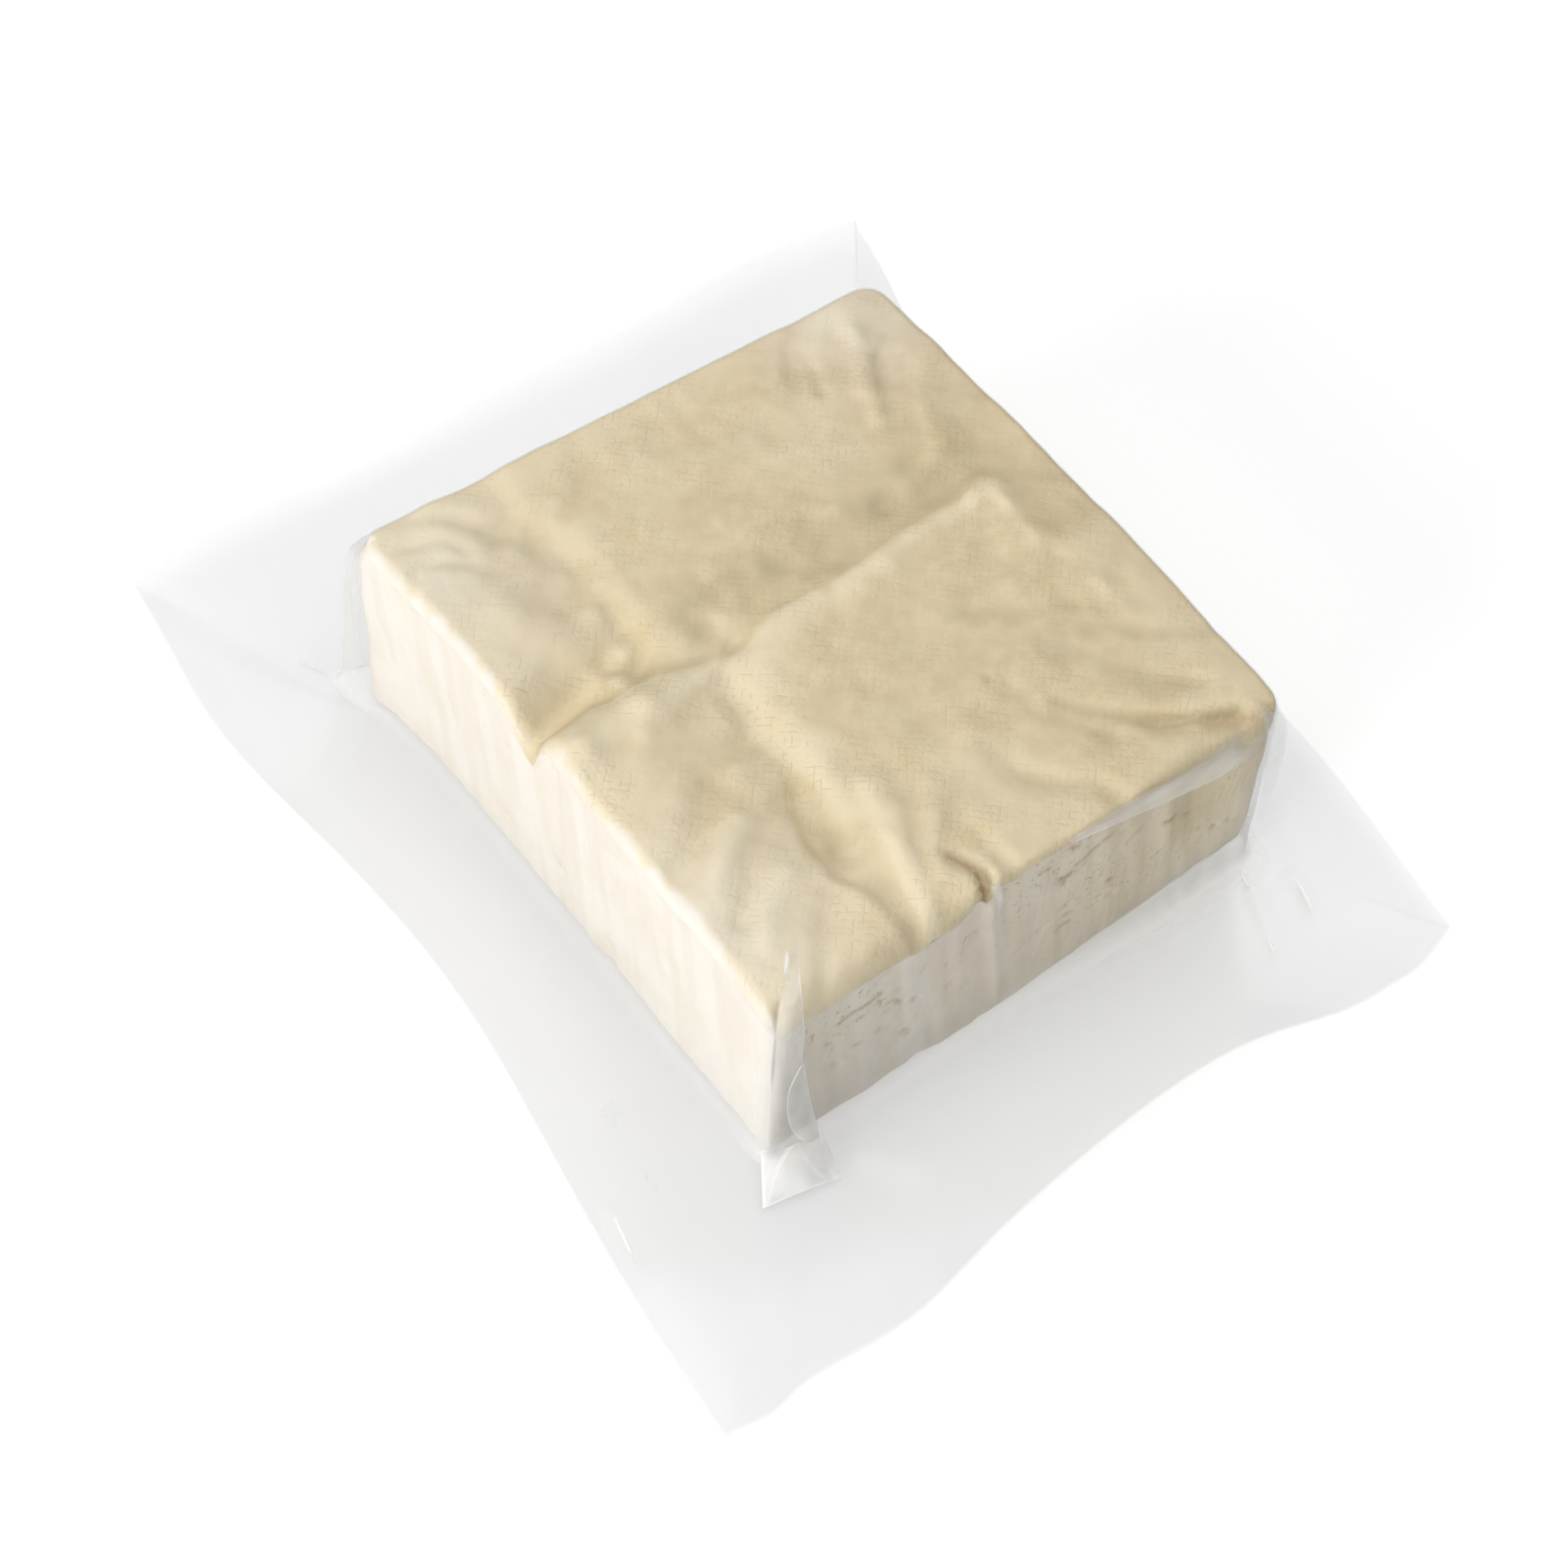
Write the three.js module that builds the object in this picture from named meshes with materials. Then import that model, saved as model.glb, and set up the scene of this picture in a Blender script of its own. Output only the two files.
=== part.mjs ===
// A block of pressed tofu, vacuum packed: a clear pouch drawn tight over the block, with its
// two sheets lying together as a wide flat margin all round. The shut pack is one solid.
// Millimetres, +Z up. The origin is the middle of the block's flat underside.
import * as THREE from 'three';

// The block
const WIDTH = 100;
const DEPTH = 110;
const HEIGHT = 43;
const CORNER_RADIUS = 4;
const TOP_EDGE_RADIUS = 2.2;

// How pressing has left the block out of square: the right side stands out in a shallow bow, the
// back edge is turned, and the top is domed.
const SIDE_OUT = 1.6;
const SIDE_BOW = 1.4;
const BACK_OUT = 0.8;
const BACK_TURN = 1.7;
const DOME = 1.0;

// The pouch
const SHEET = 0.8;
const FOOT_RADIUS = 1.6;
const FLAT_REACH = 1.7;
const STAND_BULGE = 0.6;

// How finely the surface is divided
const CELLS_X = 38;
const CELLS_Y = 42;
const EDGE_CROWDING = 0.25;
const WALL_ROWS = 5;
const FOOT_ROWS = 3;
const MARGIN_ROWS = 6;

// The pouch's four cut corners in plan, how far each is lifted, and how far the film stands off
// the block's own corner at the floor, anticlockwise from the front left.
const CORNERS = [
  { cut: [-83.8, -90.3], lift: 2.0, stand: [-1.5, -2.5] },
  { cut: [68.0, -86.5], lift: 1.5, stand: [2.5, -4.0] },
  { cut: [81.2, 93.0], lift: 4.0, stand: [5.0, 5.0] },
  { cut: [-73.3, 98.0], lift: 4.0, stand: [-3.5, 9.0] },
];

// Each side of the margin from one corner to the next: where it bends, as a share of the side,
// how far outwards, how far upwards and over what share of the side.
const SIDE_BENDS = [
  [
    { at: 0.05, out: 1.4, up: 0.0, wide: 0.035 },
    { at: 0.23, out: 2.4, up: 0.0, wide: 0.1 },
    { at: 0.6, out: -2.6, up: 6.0, wide: 0.26 },
    { at: 0.85, out: 4.0, up: 0.5, wide: 0.1 },
    { at: 0.94, out: 1.6, up: 0.0, wide: 0.045 },
  ],
  [
    { at: 0.2, out: 2.0, up: 1.0, wide: 0.16 },
    { at: 0.52, out: -1.0, up: 3.0, wide: 0.14 },
    { at: 0.8, out: -6.5, up: 0.0, wide: 0.13 },
  ],
  [
    { at: 0.17, out: 2.6, up: 2.0, wide: 0.16 },
    { at: 0.49, out: 1.8, up: 1.5, wide: 0.16 },
    { at: 0.87, out: 1.5, up: 1.5, wide: 0.11 },
  ],
  [
    { at: 0.19, out: 3.2, up: 1.0, wide: 0.13 },
    { at: 0.55, out: -3.9, up: 5.0, wide: 0.22 },
  ],
];

// Folds that the pressing cloth and the shrinking film left in the top face: a path in plan,
// the half width, and the rise, which is negative for a valley.
const FOLDS = [
  { path: [[-28, 60], [-27, 36], [-27.5, 12]], wide: 5.0, rise: -1.8 },
  { path: [[-18, 3], [-21.5, -14], [-23, -30]], wide: 4.6, rise: -1.7 },
  { path: [[-24, -27], [-26, -38], [-22, -60]], wide: 3.6, rise: -2.0 },
  { path: [[-24, 8], [10, 7.5], [54, 10.5]], wide: 4.6, rise: -1.6 },
  { path: [[-52, 2], [-28, 4], [-19, 5]], wide: 4.6, rise: 1.3 },
  { path: [[34, 60], [28, 46], [24, 38]], wide: 2.6, rise: -1.2 },
  { path: [[-11, -58], [-9.5, -52], [-11, -47]], wide: 2.2, rise: -2.2 },
  { path: [[45, -53], [35, -47], [24, -36]], wide: 2.4, rise: -1.6 },
];

// Folds that fan out of a top corner: the corner, the fan's first and last bearing in degrees,
// how many folds, how far they run from the corner, the half width and the rise.
const FANS = [
  { corner: [-52, -57], bearings: [38, 58], count: 3, reach: [10, 34], wide: 2.1, rise: -1.0 },
  { corner: [-24, -62], bearings: [60, 78], count: 2, reach: [10, 40], wide: 2.4, rise: 1.2 },
  { corner: [50, -56], bearings: [112, 150], count: 3, reach: [12, 32], wide: 2.2, rise: -0.9 },
  { corner: [48, 60], bearings: [228, 250], count: 3, reach: [10, 36], wide: 2.2, rise: -1.1 },
];

// The step at the left edge, where two flaps of the cloth met: where its deepest line starts on
// the edge and how it slants, how deep it is, how far it runs in, and how far it spreads to its
// gentle side and to its steep side.
const STEP = { start: 9.2, slant: 0.28, depth: 6.2, reach: 12, gentle: 5.6, steep: 2.6 };

const FULL_TURN = 360;

function clamp(value, low, high) {
  return Math.min(high, Math.max(low, value));
}

function mix(a, b, share) {
  return a + (b - a) * share;
}

function bell(distance, wide) {
  return Math.exp(-((distance / wide) ** 2));
}

// Plan distance from a point to a path of straight runs.
function distanceToPath(x, y, path) {
  let nearest = Infinity;
  for (let i = 1; i < path.length; i++) {
    const [ax, ay] = path[i - 1];
    const dx = path[i][0] - ax;
    const dy = path[i][1] - ay;
    const share = clamp(((x - ax) * dx + (y - ay) * dy) / (dx * dx + dy * dy), 0, 1);
    nearest = Math.min(nearest, Math.hypot(x - ax - dx * share, y - ay - dy * share));
  }
  return nearest;
}

// The straight folds of one fan.
function fanFolds({ corner, bearings, count, reach, wide, rise }) {
  const folds = [];
  for (let i = 0; i < count; i++) {
    const turn = mix(bearings[0], bearings[1], i / (count - 1)) * (2 * Math.PI / FULL_TURN);
    const path = reach.map((r) => [corner[0] + r * Math.cos(turn), corner[1] + r * Math.sin(turn)]);
    folds.push({ path, wide, rise });
  }
  return folds;
}

const ALL_FOLDS = FOLDS.concat(FANS.flatMap(fanFolds));

// How far the step sinks the top face at a point.
function stepDepth(x, y) {
  const inset = x + WIDTH / 2;
  const off = y - STEP.start - STEP.slant * inset;
  const depth = STEP.depth * Math.exp(-((Math.max(inset, 0) / STEP.reach) ** 3));
  return depth * bell(off, off > 0 ? STEP.gentle : STEP.steep);
}

// How far the dome, the step and the folds lift or sink the top face at a point.
function relief(x, y) {
  let height = DOME * (1 - (2 * x / WIDTH) ** 2) - stepDepth(x, y);
  for (const { path, wide, rise } of ALL_FOLDS) {
    height += rise * bell(distanceToPath(x, y, path), wide);
  }
  return height;
}

// Even steps from -1 to 1, crowded towards both ends.
function crowded(share) {
  const u = 2 * share - 1;
  return u * (1 + EDGE_CROWDING) - EDGE_CROWDING * u ** 3;
}

// A point of a sharp-cornered rectangle, moved onto the block's rounded plan.
function roundedPlan(x, y) {
  const dx = Math.abs(x) - (WIDTH / 2 - CORNER_RADIUS);
  const dy = Math.abs(y) - (DEPTH / 2 - CORNER_RADIUS);
  if (dx <= 0 || dy <= 0) return [x, y];
  const pull = Math.max(dx, dy) / Math.hypot(dx, dy);
  return [
    Math.sign(x) * (WIDTH / 2 - CORNER_RADIUS + dx * pull),
    Math.sign(y) * (DEPTH / 2 - CORNER_RADIUS + dy * pull),
  ];
}

// A point of the squared plan, moved to where pressing has left it.
function swelled([x, y]) {
  const bow = SIDE_OUT + SIDE_BOW * (1 - (2 * y / DEPTH) ** 2);
  const turn = BACK_OUT - BACK_TURN * 2 * x / WIDTH;
  return [x + bow * Math.max(x, 0) * 2 / WIDTH, y + turn * Math.max(y, 0) * 2 / DEPTH];
}

// Height of the top face: its relief, rounded over at the edge.
function topHeight(x, y) {
  const inset = Math.min(WIDTH / 2 - Math.abs(x), DEPTH / 2 - Math.abs(y));
  const over = clamp(TOP_EDGE_RADIUS - inset, 0, TOP_EDGE_RADIUS);
  const drop = TOP_EDGE_RADIUS - Math.sqrt(TOP_EDGE_RADIUS ** 2 - over ** 2);
  return HEIGHT - drop + relief(...swelled([x, y]));
}

// The stations round the block, anticlockwise from its front left corner. Each knows its side,
// its share of the way along that side and its point on the top face's edge.
function makeStations() {
  const stations = [];
  const sides = [
    { cells: CELLS_X, grid: (i) => [i, 0] },
    { cells: CELLS_Y, grid: (i) => [CELLS_X, i] },
    { cells: CELLS_X, grid: (i) => [CELLS_X - i, CELLS_Y] },
    { cells: CELLS_Y, grid: (i) => [0, CELLS_Y - i] },
  ];
  sides.forEach(({ cells, grid }, side) => {
    for (let i = 0; i < cells; i++) {
      const [column, row] = grid(i);
      stations.push({ side, share: (crowded(i / cells) + 1) / 2, column, row });
    }
  });
  return stations;
}

// How far the film stands off the block at a station, as a share of the nearest corner's stand.
function cornerStand({ side, share }, height) {
  const length = side % 2 === 0 ? WIDTH : DEPTH;
  const near = share < 0.5 ? side : (side + 1) % CORNERS.length;
  const distance = Math.min(share, 1 - share) * length;
  const amount = bell(distance, CORNER_RADIUS) * (1 - clamp(height / HEIGHT, 0, 1)) ** STAND_BULGE;
  return CORNERS[near].stand.map((s) => s * amount);
}

// The point of the margin's cut edge that a station looks out to, with its lift as z.
function cutEdge({ side, share }) {
  const from = CORNERS[side];
  const to = CORNERS[(side + 1) % CORNERS.length];
  const dx = to.cut[0] - from.cut[0];
  const dy = to.cut[1] - from.cut[1];
  const length = Math.hypot(dx, dy);
  let out = 0;
  let lift = mix(from.lift, to.lift, share * share * (3 - 2 * share));
  for (const bend of SIDE_BENDS[side]) {
    const amount = bell(share - bend.at, bend.wide);
    out += bend.out * amount;
    lift += bend.up * amount;
  }
  return [from.cut[0] + dx * share + out * dy / length, from.cut[1] + dy * share - out * dx / length, lift];
}

// Outward direction of the block's side at a point of its plan.
function outward([x, y]) {
  const dx = Math.max(0, Math.abs(x) - (WIDTH / 2 - CORNER_RADIUS)) * Math.sign(x);
  const dy = Math.max(0, Math.abs(y) - (DEPTH / 2 - CORNER_RADIUS)) * Math.sign(y);
  const length = Math.hypot(dx, dy);
  return [dx / length, dy / length];
}

// The squared plan of the top face at a column and row of its grid.
function gridPoint(column, row) {
  return [crowded(column / CELLS_X) * WIDTH / 2, crowded(row / CELLS_Y) * DEPTH / 2];
}

// The profile below the top edge at one station: down the wall, round the foot and out along
// the top of the margin, then back under it to the block's underside.
function profile(station, edge) {
  const plan = [edge[0], edge[1]];
  const [nx, ny] = outward(roundedPlan(...gridPoint(station.column, station.row)));
  const points = [];
  const wallPoint = (offset, z) => {
    const stand = cornerStand(station, z);
    return [plan[0] + nx * offset + stand[0], plan[1] + ny * offset + stand[1], z];
  };
  const wallFoot = SHEET + FOOT_RADIUS;
  for (let i = 1; i <= WALL_ROWS; i++) {
    points.push(wallPoint(0, mix(edge[2], wallFoot, i / WALL_ROWS)));
  }
  for (let i = 1; i <= FOOT_ROWS; i++) {
    const turn = (i / FOOT_ROWS) * Math.PI / 2;
    points.push(wallPoint(FOOT_RADIUS * (1 - Math.cos(turn)), wallFoot - FOOT_RADIUS * Math.sin(turn)));
  }
  const foot = points[points.length - 1];
  const cut = cutEdge(station);
  const margin = [];
  for (let i = 1; i <= MARGIN_ROWS; i++) {
    const share = i / MARGIN_ROWS;
    margin.push([mix(foot[0], cut[0], share), mix(foot[1], cut[1], share), cut[2] * share ** FLAT_REACH]);
  }
  margin.forEach(([x, y, lift]) => points.push([x, y, lift + SHEET]));
  margin.reverse().forEach(([x, y, lift]) => points.push([x, y, lift]));
  points.push([foot[0], foot[1], 0]);
  points.push([plan[0], plan[1], 0]);
  return points;
}

// The whole pack as one closed surface: a grid for the top face, rings for the rest, and a fan
// for the underside.
function packGeometry() {
  const positions = [];
  const faces = [];
  const gridIndex = (column, row) => row * (CELLS_X + 1) + column;
  for (let row = 0; row <= CELLS_Y; row++) {
    for (let column = 0; column <= CELLS_X; column++) {
      const [x, y] = gridPoint(column, row);
      positions.push([...swelled(roundedPlan(x, y)), topHeight(x, y)]);
    }
  }
  const quad = (a, b, c, d) => faces.push(a, b, c, a, c, d);
  for (let row = 0; row < CELLS_Y; row++) {
    for (let column = 0; column < CELLS_X; column++) {
      const low = gridIndex(column, row);
      const high = gridIndex(column, row + 1);
      quad(low, low + 1, high + 1, high);
    }
  }
  const stations = makeStations();
  const rings = stations.map((station) => {
    const first = gridIndex(station.column, station.row);
    const ring = [first];
    for (const point of profile(station, positions[first])) {
      ring.push(positions.length);
      positions.push(point);
    }
    return ring;
  });
  const middle = positions.length;
  positions.push([0, 0, 0]);
  rings.forEach((ring, i) => {
    const next = rings[(i + 1) % rings.length];
    for (let k = 1; k < ring.length; k++) {
      quad(ring[k - 1], ring[k], next[k], next[k - 1]);
    }
    faces.push(middle, next[next.length - 1], ring[ring.length - 1]);
  });
  const geometry = new THREE.BufferGeometry();
  geometry.setAttribute('position', new THREE.Float32BufferAttribute(positions.flat(), 3));
  geometry.setIndex(faces);
  geometry.computeVertexNormals();
  return geometry;
}

function makePack() {
  const material = new THREE.MeshStandardMaterial({ color: 0xe2d6b8, roughness: 0.55, metalness: 0 });
  const mesh = new THREE.Mesh(packGeometry(), material);
  mesh.name = 'tofu_pack';
  return mesh;
}

const group = new THREE.Group();
group.add(makePack());

export default group;
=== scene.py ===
# %% [markdown]
# # A block of pressed tofu in its vacuum pack
#
# The real object is two things. One is a block of tofu, pressed in a cloth, so that its top is
# tan and marked by threads, and its cut sides are cream and full of little holes. The other is
# a clear pouch, drawn tight over the block by the vacuum, whose two sheets lie together as a wide
# flat margin all round. This lesson builds both by code, as surfaces worked out from a few sizes,
# so that every fold can be moved by changing one number.

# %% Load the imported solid, which gives the frame
import math
import bpy
import numpy as np
from mathutils import Matrix, Vector


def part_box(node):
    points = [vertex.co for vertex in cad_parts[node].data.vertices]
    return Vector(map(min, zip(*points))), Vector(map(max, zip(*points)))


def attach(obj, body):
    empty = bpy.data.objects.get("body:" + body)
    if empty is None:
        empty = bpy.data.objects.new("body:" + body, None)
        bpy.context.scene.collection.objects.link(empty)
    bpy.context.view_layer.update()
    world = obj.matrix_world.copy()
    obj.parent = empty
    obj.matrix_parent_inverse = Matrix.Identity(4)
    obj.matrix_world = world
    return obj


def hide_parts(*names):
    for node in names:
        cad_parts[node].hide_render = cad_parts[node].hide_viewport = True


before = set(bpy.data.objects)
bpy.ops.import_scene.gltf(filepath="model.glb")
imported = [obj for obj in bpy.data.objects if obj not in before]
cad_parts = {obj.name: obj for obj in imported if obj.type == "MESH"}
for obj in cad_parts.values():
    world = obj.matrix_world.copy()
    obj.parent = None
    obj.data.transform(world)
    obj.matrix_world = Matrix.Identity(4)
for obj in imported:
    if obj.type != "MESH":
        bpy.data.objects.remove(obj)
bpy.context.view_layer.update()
pack_low, pack_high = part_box("tofu_pack")
print("pack box in metres:", [round(v, 4) for v in (*pack_low, *pack_high)])

# %% [markdown]
# ## Sizes
#
# Lengths are in millimetres here, because that is how a pack is measured, and they are turned
# into Blender's metres at the very end. The origin is the middle of the block's underside, so
# half of the width and depth lies on each side of it.

# %% The driving sizes
MM = 0.001
WIDTH = 100.0
DEPTH = 110.0
HEIGHT = 43.0
CORNER_RADIUS = 4.0
MARGIN_GAP = 0.2
FILM_CLEARANCE = 0.16
print("highest fold above the block:", round(pack_high.z / MM - HEIGHT, 2), "mm")

# %% [markdown]
# ## A few small tools
#
# Every fold below is a soft bump or dip along a path drawn on the surface. `bell` is the shape of
# its cross-section, `curve_through` rounds a path's corners, and `fold_height` gives the height of
# one fold, which may be steeper on one side and may die away towards one end. `soft_noise` gives
# the gentle unevenness of a hand-made thing. It is seeded, so it comes out the same each time.


# %% Bells, steps, paths and soft noise
def bell(distance, wide):
    return np.exp(-((distance / wide) ** 2))


def smooth_step(value, low, high):
    share = np.clip((value - low) / (high - low), 0.0, 1.0)
    return share * share * (3.0 - 2.0 * share)


def curve_through(points, steps=8):
    p = np.array([points[0], *points, points[-1]], float)
    t = np.linspace(0.0, 1.0, steps, endpoint=False)[:, None]
    pieces = [
        0.5 * (2 * b + (c - a) * t + (2 * a - 5 * b + 4 * c - d) * t**2 + (3 * b - a - 3 * c + d) * t**3)
        for a, b, c, d in zip(p[:-3], p[1:-2], p[2:-1], p[3:])
    ]
    return np.concatenate([*pieces, p[-1:]])


def fold_height(x, y, path, widths, rises):
    line = curve_through(path)
    runs = len(line) - 1
    near, side, along = (np.full(np.shape(x), start) for start in (np.inf, 0.0, 0.0))
    for number, (start, end) in enumerate(zip(line[:-1], line[1:])):
        dx, dy = end - start
        share = np.clip(((x - start[0]) * dx + (y - start[1]) * dy) / (dx * dx + dy * dy), 0.0, 1.0)
        off_x, off_y = x - start[0] - dx * share, y - start[1] - dy * share
        distance = np.hypot(off_x, off_y)
        closer = distance < near
        turn = (dx * off_y - dy * off_x) / (math.hypot(dx, dy) * np.maximum(distance, 1e-6))
        near = np.where(closer, distance, near)
        side = np.where(closer, turn, side)
        along = np.where(closer, (number + share) / runs, along)
    wide = widths[1] + (widths[0] - widths[1]) * (0.5 + 0.5 * side)
    return (rises[0] + (rises[1] - rises[0]) * along) * bell(near, wide)


NOISE_CELLS = 97


def soft_noise(u, v, spacing, seed):
    lattice = np.random.default_rng(seed).uniform(-1.0, 1.0, (NOISE_CELLS, NOISE_CELLS))
    a, b = u / spacing, v / spacing
    i, j = np.floor(a).astype(int), np.floor(b).astype(int)
    s, t = smooth_step(a - i, 0.0, 1.0), smooth_step(b - j, 0.0, 1.0)
    i0, j0, i1, j1 = i % NOISE_CELLS, j % NOISE_CELLS, (i + 1) % NOISE_CELLS, (j + 1) % NOISE_CELLS
    low = lattice[i0, j0] * (1 - s) + lattice[i1, j0] * s
    high = lattice[i0, j1] * (1 - s) + lattice[i1, j1] * s
    return low * (1 - t) + high * t


print("a bell one width out:", round(float(bell(1.0, 1.0)), 3))

# %% [markdown]
# ## The folds in the top
#
# The pressing cloth was folded over the block in four flaps, so its creases left a cross on the
# top: a raised crest from left to right with a broad valley behind it, valleys from back to
# front, and a step at the left edge, where two flaps met. The shrinking film then drew finer
# folds out of the corners and the front edge. Each fold is a path in plan, its half widths to the
# left and right of the path, and its rises at the path's start and end, negative for a valley.

# %% The cloth's creases
MIDDLE_CREST = [
    (-32, 4.2), (-23.5, 4.0), (-14.3, 2.9), (-5.3, 5.0), (2.1, 5.3), (8.0, 4.8), (15.4, 5.6),
    (20.6, 6.8), (27.0, 6.9), (34.1, 6.1), (37.6, 8.1), (40.5, 6.9), (38.9, 2.6), (38.3, -6.3),
]
CREASES = [
    ([(-28, 60), (-28, 45), (-26.6, 34), (-26.2, 22), (-27.2, 14)], (3.2, 9.0), (-1.2, -1.8)),
    ([(-18, 3), (-21, -8), (-21.5, -20), (-23, -30)], (3.6, 8.0), (-1.3, -1.7)),
    ([(-22, -22), (-25, -31), (-26, -38), (-23.5, -44), (-22, -58)], (6.0, 1.6), (-0.5, -1.9)),
    ([(-26, 10), (-14, 9.5), (-4, 11), (8, 11.5), (20, 12), (34, 12.5), (46, 12)], (7.0, 4.6), (-1.3, -0.9)),
    (MIDDLE_CREST, (2.0, 6.0), (0.5, 0.55)),
    ([(-52, 2), (-40, 4), (-28, 4), (-19, 5)], (4.0, 8.0), (1.5, 0.7)),
    ([(-28, -1.5), (-21, 0), (-17, 2), (-14, 5)], (1.5, 4.0), (-0.4, -1.1)),
    ([(-40, 22), (-39, 15), (-36, 9)], (3.0, 5.0), (-0.3, -0.9)),
]

# %% The folds along the back and the right
BACK_FOLDS = [
    ([(-46, 57), (-38, 53), (-33.5, 48)], (1.6, 1.2), (-0.45, -0.4)),
    ([(-49, 52), (-41, 49.5), (-38, 45)], (1.4, 1.2), (-0.4, -0.3)),
    ([(-51, 43), (-45, 46), (-40, 43), (-37, 39)], (1.4, 1.6), (-0.5, -0.25)),
    ([(-38, 57), (-27, 48), (-22, 45)], (3.0, 2.2), (0.6, 0.3)),
    ([(-17, 58), (-18, 50), (-21, 45)], (3.2, 2.3), (0.45, 0.1)),
    ([(-10, 58), (-12, 50), (-14, 42)], (2.4, 3.2), (-0.4, -0.1)),
    ([(6, 60), (4, 50)], (2.4, 2.4), (0.4, 0.0)),
    ([(37, 58), (31, 50), (27, 44), (23.5, 38)], (2.8, 1.8), (-0.7, -0.3)),
    ([(32, 47), (31, 43), (29, 39)], (1.4, 1.0), (-0.2, -0.6)),
    ([(44, 52), (41, 45), (37, 38), (34, 30)], (3.6, 2.2), (0.6, 0.7)),
    ([(46, 42), (41, 38), (38, 33), (35, 27)], (2.2, 1.3), (-0.4, -0.4)),
    ([(51, 37), (44, 31), (40, 24), (37, 17)], (3.6, 2.4), (0.3, 0.6)),
    ([(30, 15), (38, 18), (44, 17), (52, 14)], (3.0, 2.2), (0.4, 0.3)),
    ([(40, 6), (41, -3), (42, -10), (43, -20)], (7.0, 2.4), (0.5, 0.6)),
    ([(17, 5), (28, 7), (36, 7)], (1.8, 3.0), (0.2, 0.4)),
]

# %% The folds that fan out of the front
FRONT_FOLDS = [
    ([(-50, -28), (-40, -21), (-33, -15)], (2.8, 3.0), (-0.5, -0.5)),
    ([(-44, -32), (-39, -27), (-33, -23)], (2.4, 2.8), (0.6, 0.6)),
    ([(-44, -38), (-38, -33)], (1.6, 2.0), (-0.4, -0.2)),
    ([(-46, -46), (-38, -38), (-33, -35)], (2.2, 2.6), (0.4, 0.5)),
    ([(-41, -56), (-35, -48), (-30, -42)], (2.2, 3.4), (-0.7, -0.4)),
    ([(-12, -14), (-17, -22), (-20, -30)], (3.2, 3.0), (0.1, 0.7)),
    ([(-13, -30), (-15.5, -38), (-18, -46), (-21, -58)], (3.4, 2.8), (0.8, 1.5)),
    ([(-5, -36), (-10, -42), (-13, -49)], (2.4, 2.0), (0.5, 0.8)),
    ([(-10.6, -45.6), (-8.8, -49.4), (-8.1, -52.4), (-9.3, -56.5)], (0.8, 1.2), (-0.4, -2.2)),
    ([(-5, -44), (-4, -50), (-4, -56)], (1.4, 1.8), (-0.2, -0.8)),
    ([(7, -36), (9, -42), (14, -47), (17.5, -50), (18.5, -57)], (1.6, 2.6), (-0.4, -0.9)),
    ([(17, -28), (19, -35), (25, -43)], (1.6, 2.4), (-0.35, -0.5)),
    ([(22, -34), (27, -39.5), (32, -44.6), (38, -48.6), (44, -51.4)], (1.1, 2.8), (-0.4, -1.5)),
    ([(34, -33), (38, -39), (43, -44)], (1.6, 2.4), (-0.2, -0.5)),
    ([(20, -11), (30, -17), (36, -20)], (1.8, 2.4), (-0.35, -0.4)),
    ([(36, -25), (42, -31), (52, -37)], (1.6, 2.2), (-0.3, -0.3)),
    ([(6, -31), (14, -26), (24, -28)], (3.6, 3.2), (0.35, 0.35)),
    ([(15.0, -23.9), (15.6, -23.7)], (0.5, 0.5), (-0.7, -0.7)),
]
FOLDS = CREASES + BACK_FOLDS + FRONT_FOLDS
print("folds in the top:", len(FOLDS))

# %% [markdown]
# ## The step where two flaps met
#
# At the left edge the top dips gently over a finger's width and then rises again almost
# straight up. A bell would be the same on both sides, so this dip has its own shape: a wide
# bell behind its deepest line and a narrow one before it, which eases off further in.

# %% The step's shape
STEP_START = 9.2
STEP_SLANT = 0.28
STEP_DEPTH = 6.2
STEP_REACH = 14.5
STEP_GENTLE = 5.6
STEP_STEEP = 1.6
STEP_EASES = 0.22
RELIEF = 1.25


def flap_step(x, y):
    inset = x + WIDTH / 2
    off = y - STEP_START - STEP_SLANT * inset
    steep = STEP_STEEP + STEP_EASES * np.maximum(inset, 0)
    depth = STEP_DEPTH * np.exp(-((np.maximum(inset, 0) / STEP_REACH) ** 3))
    return -depth * np.where(off > 0, bell(off, STEP_GENTLE), bell(off, steep))


def top_relief(x, y):
    rise = flap_step(x, y)
    uneven = RELIEF * (1.0 + 0.4 * soft_noise(x + 200, y + 200, 4.3, 14))
    calm = 1.0 - 0.6 * smooth_step(y, 45.0, 54.0)
    for fold in FOLDS:
        rise = rise + fold_height(x, y, *fold) * uneven * calm
    rough = 0.33 * soft_noise(x + 200, y + 200, 7.0, 11) + 0.12 * soft_noise(x + 200, y + 200, 3.1, 12)
    return rise + rough * calm


print("deepest point of the step:", round(float(flap_step(-50.0, STEP_START)), 2), "mm")

# %% [markdown]
# ## The plan and its edge
#
# The block and the film share one plan: a rectangle with rounded upright corners. The surface is
# divided by a grid on top and by stations round the side, and both crowd together near the edges,
# where the shape turns fastest. `roll_over` is how far the surface has dropped at a distance
# inside an edge, for a given radius. Soft curd never stays quite square, so `swelled` moves the
# right side outwards in a shallow bow and turns the back edge by two degrees.


# %% Plan, stations and rolled edges
EDGE_CROWDING = 0.25
SIDE_OUT = 1.6
SIDE_BOW = 1.4
BACK_OUT = 0.8
BACK_TURN = 1.7
LEFT_OUT = 1.2


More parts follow.
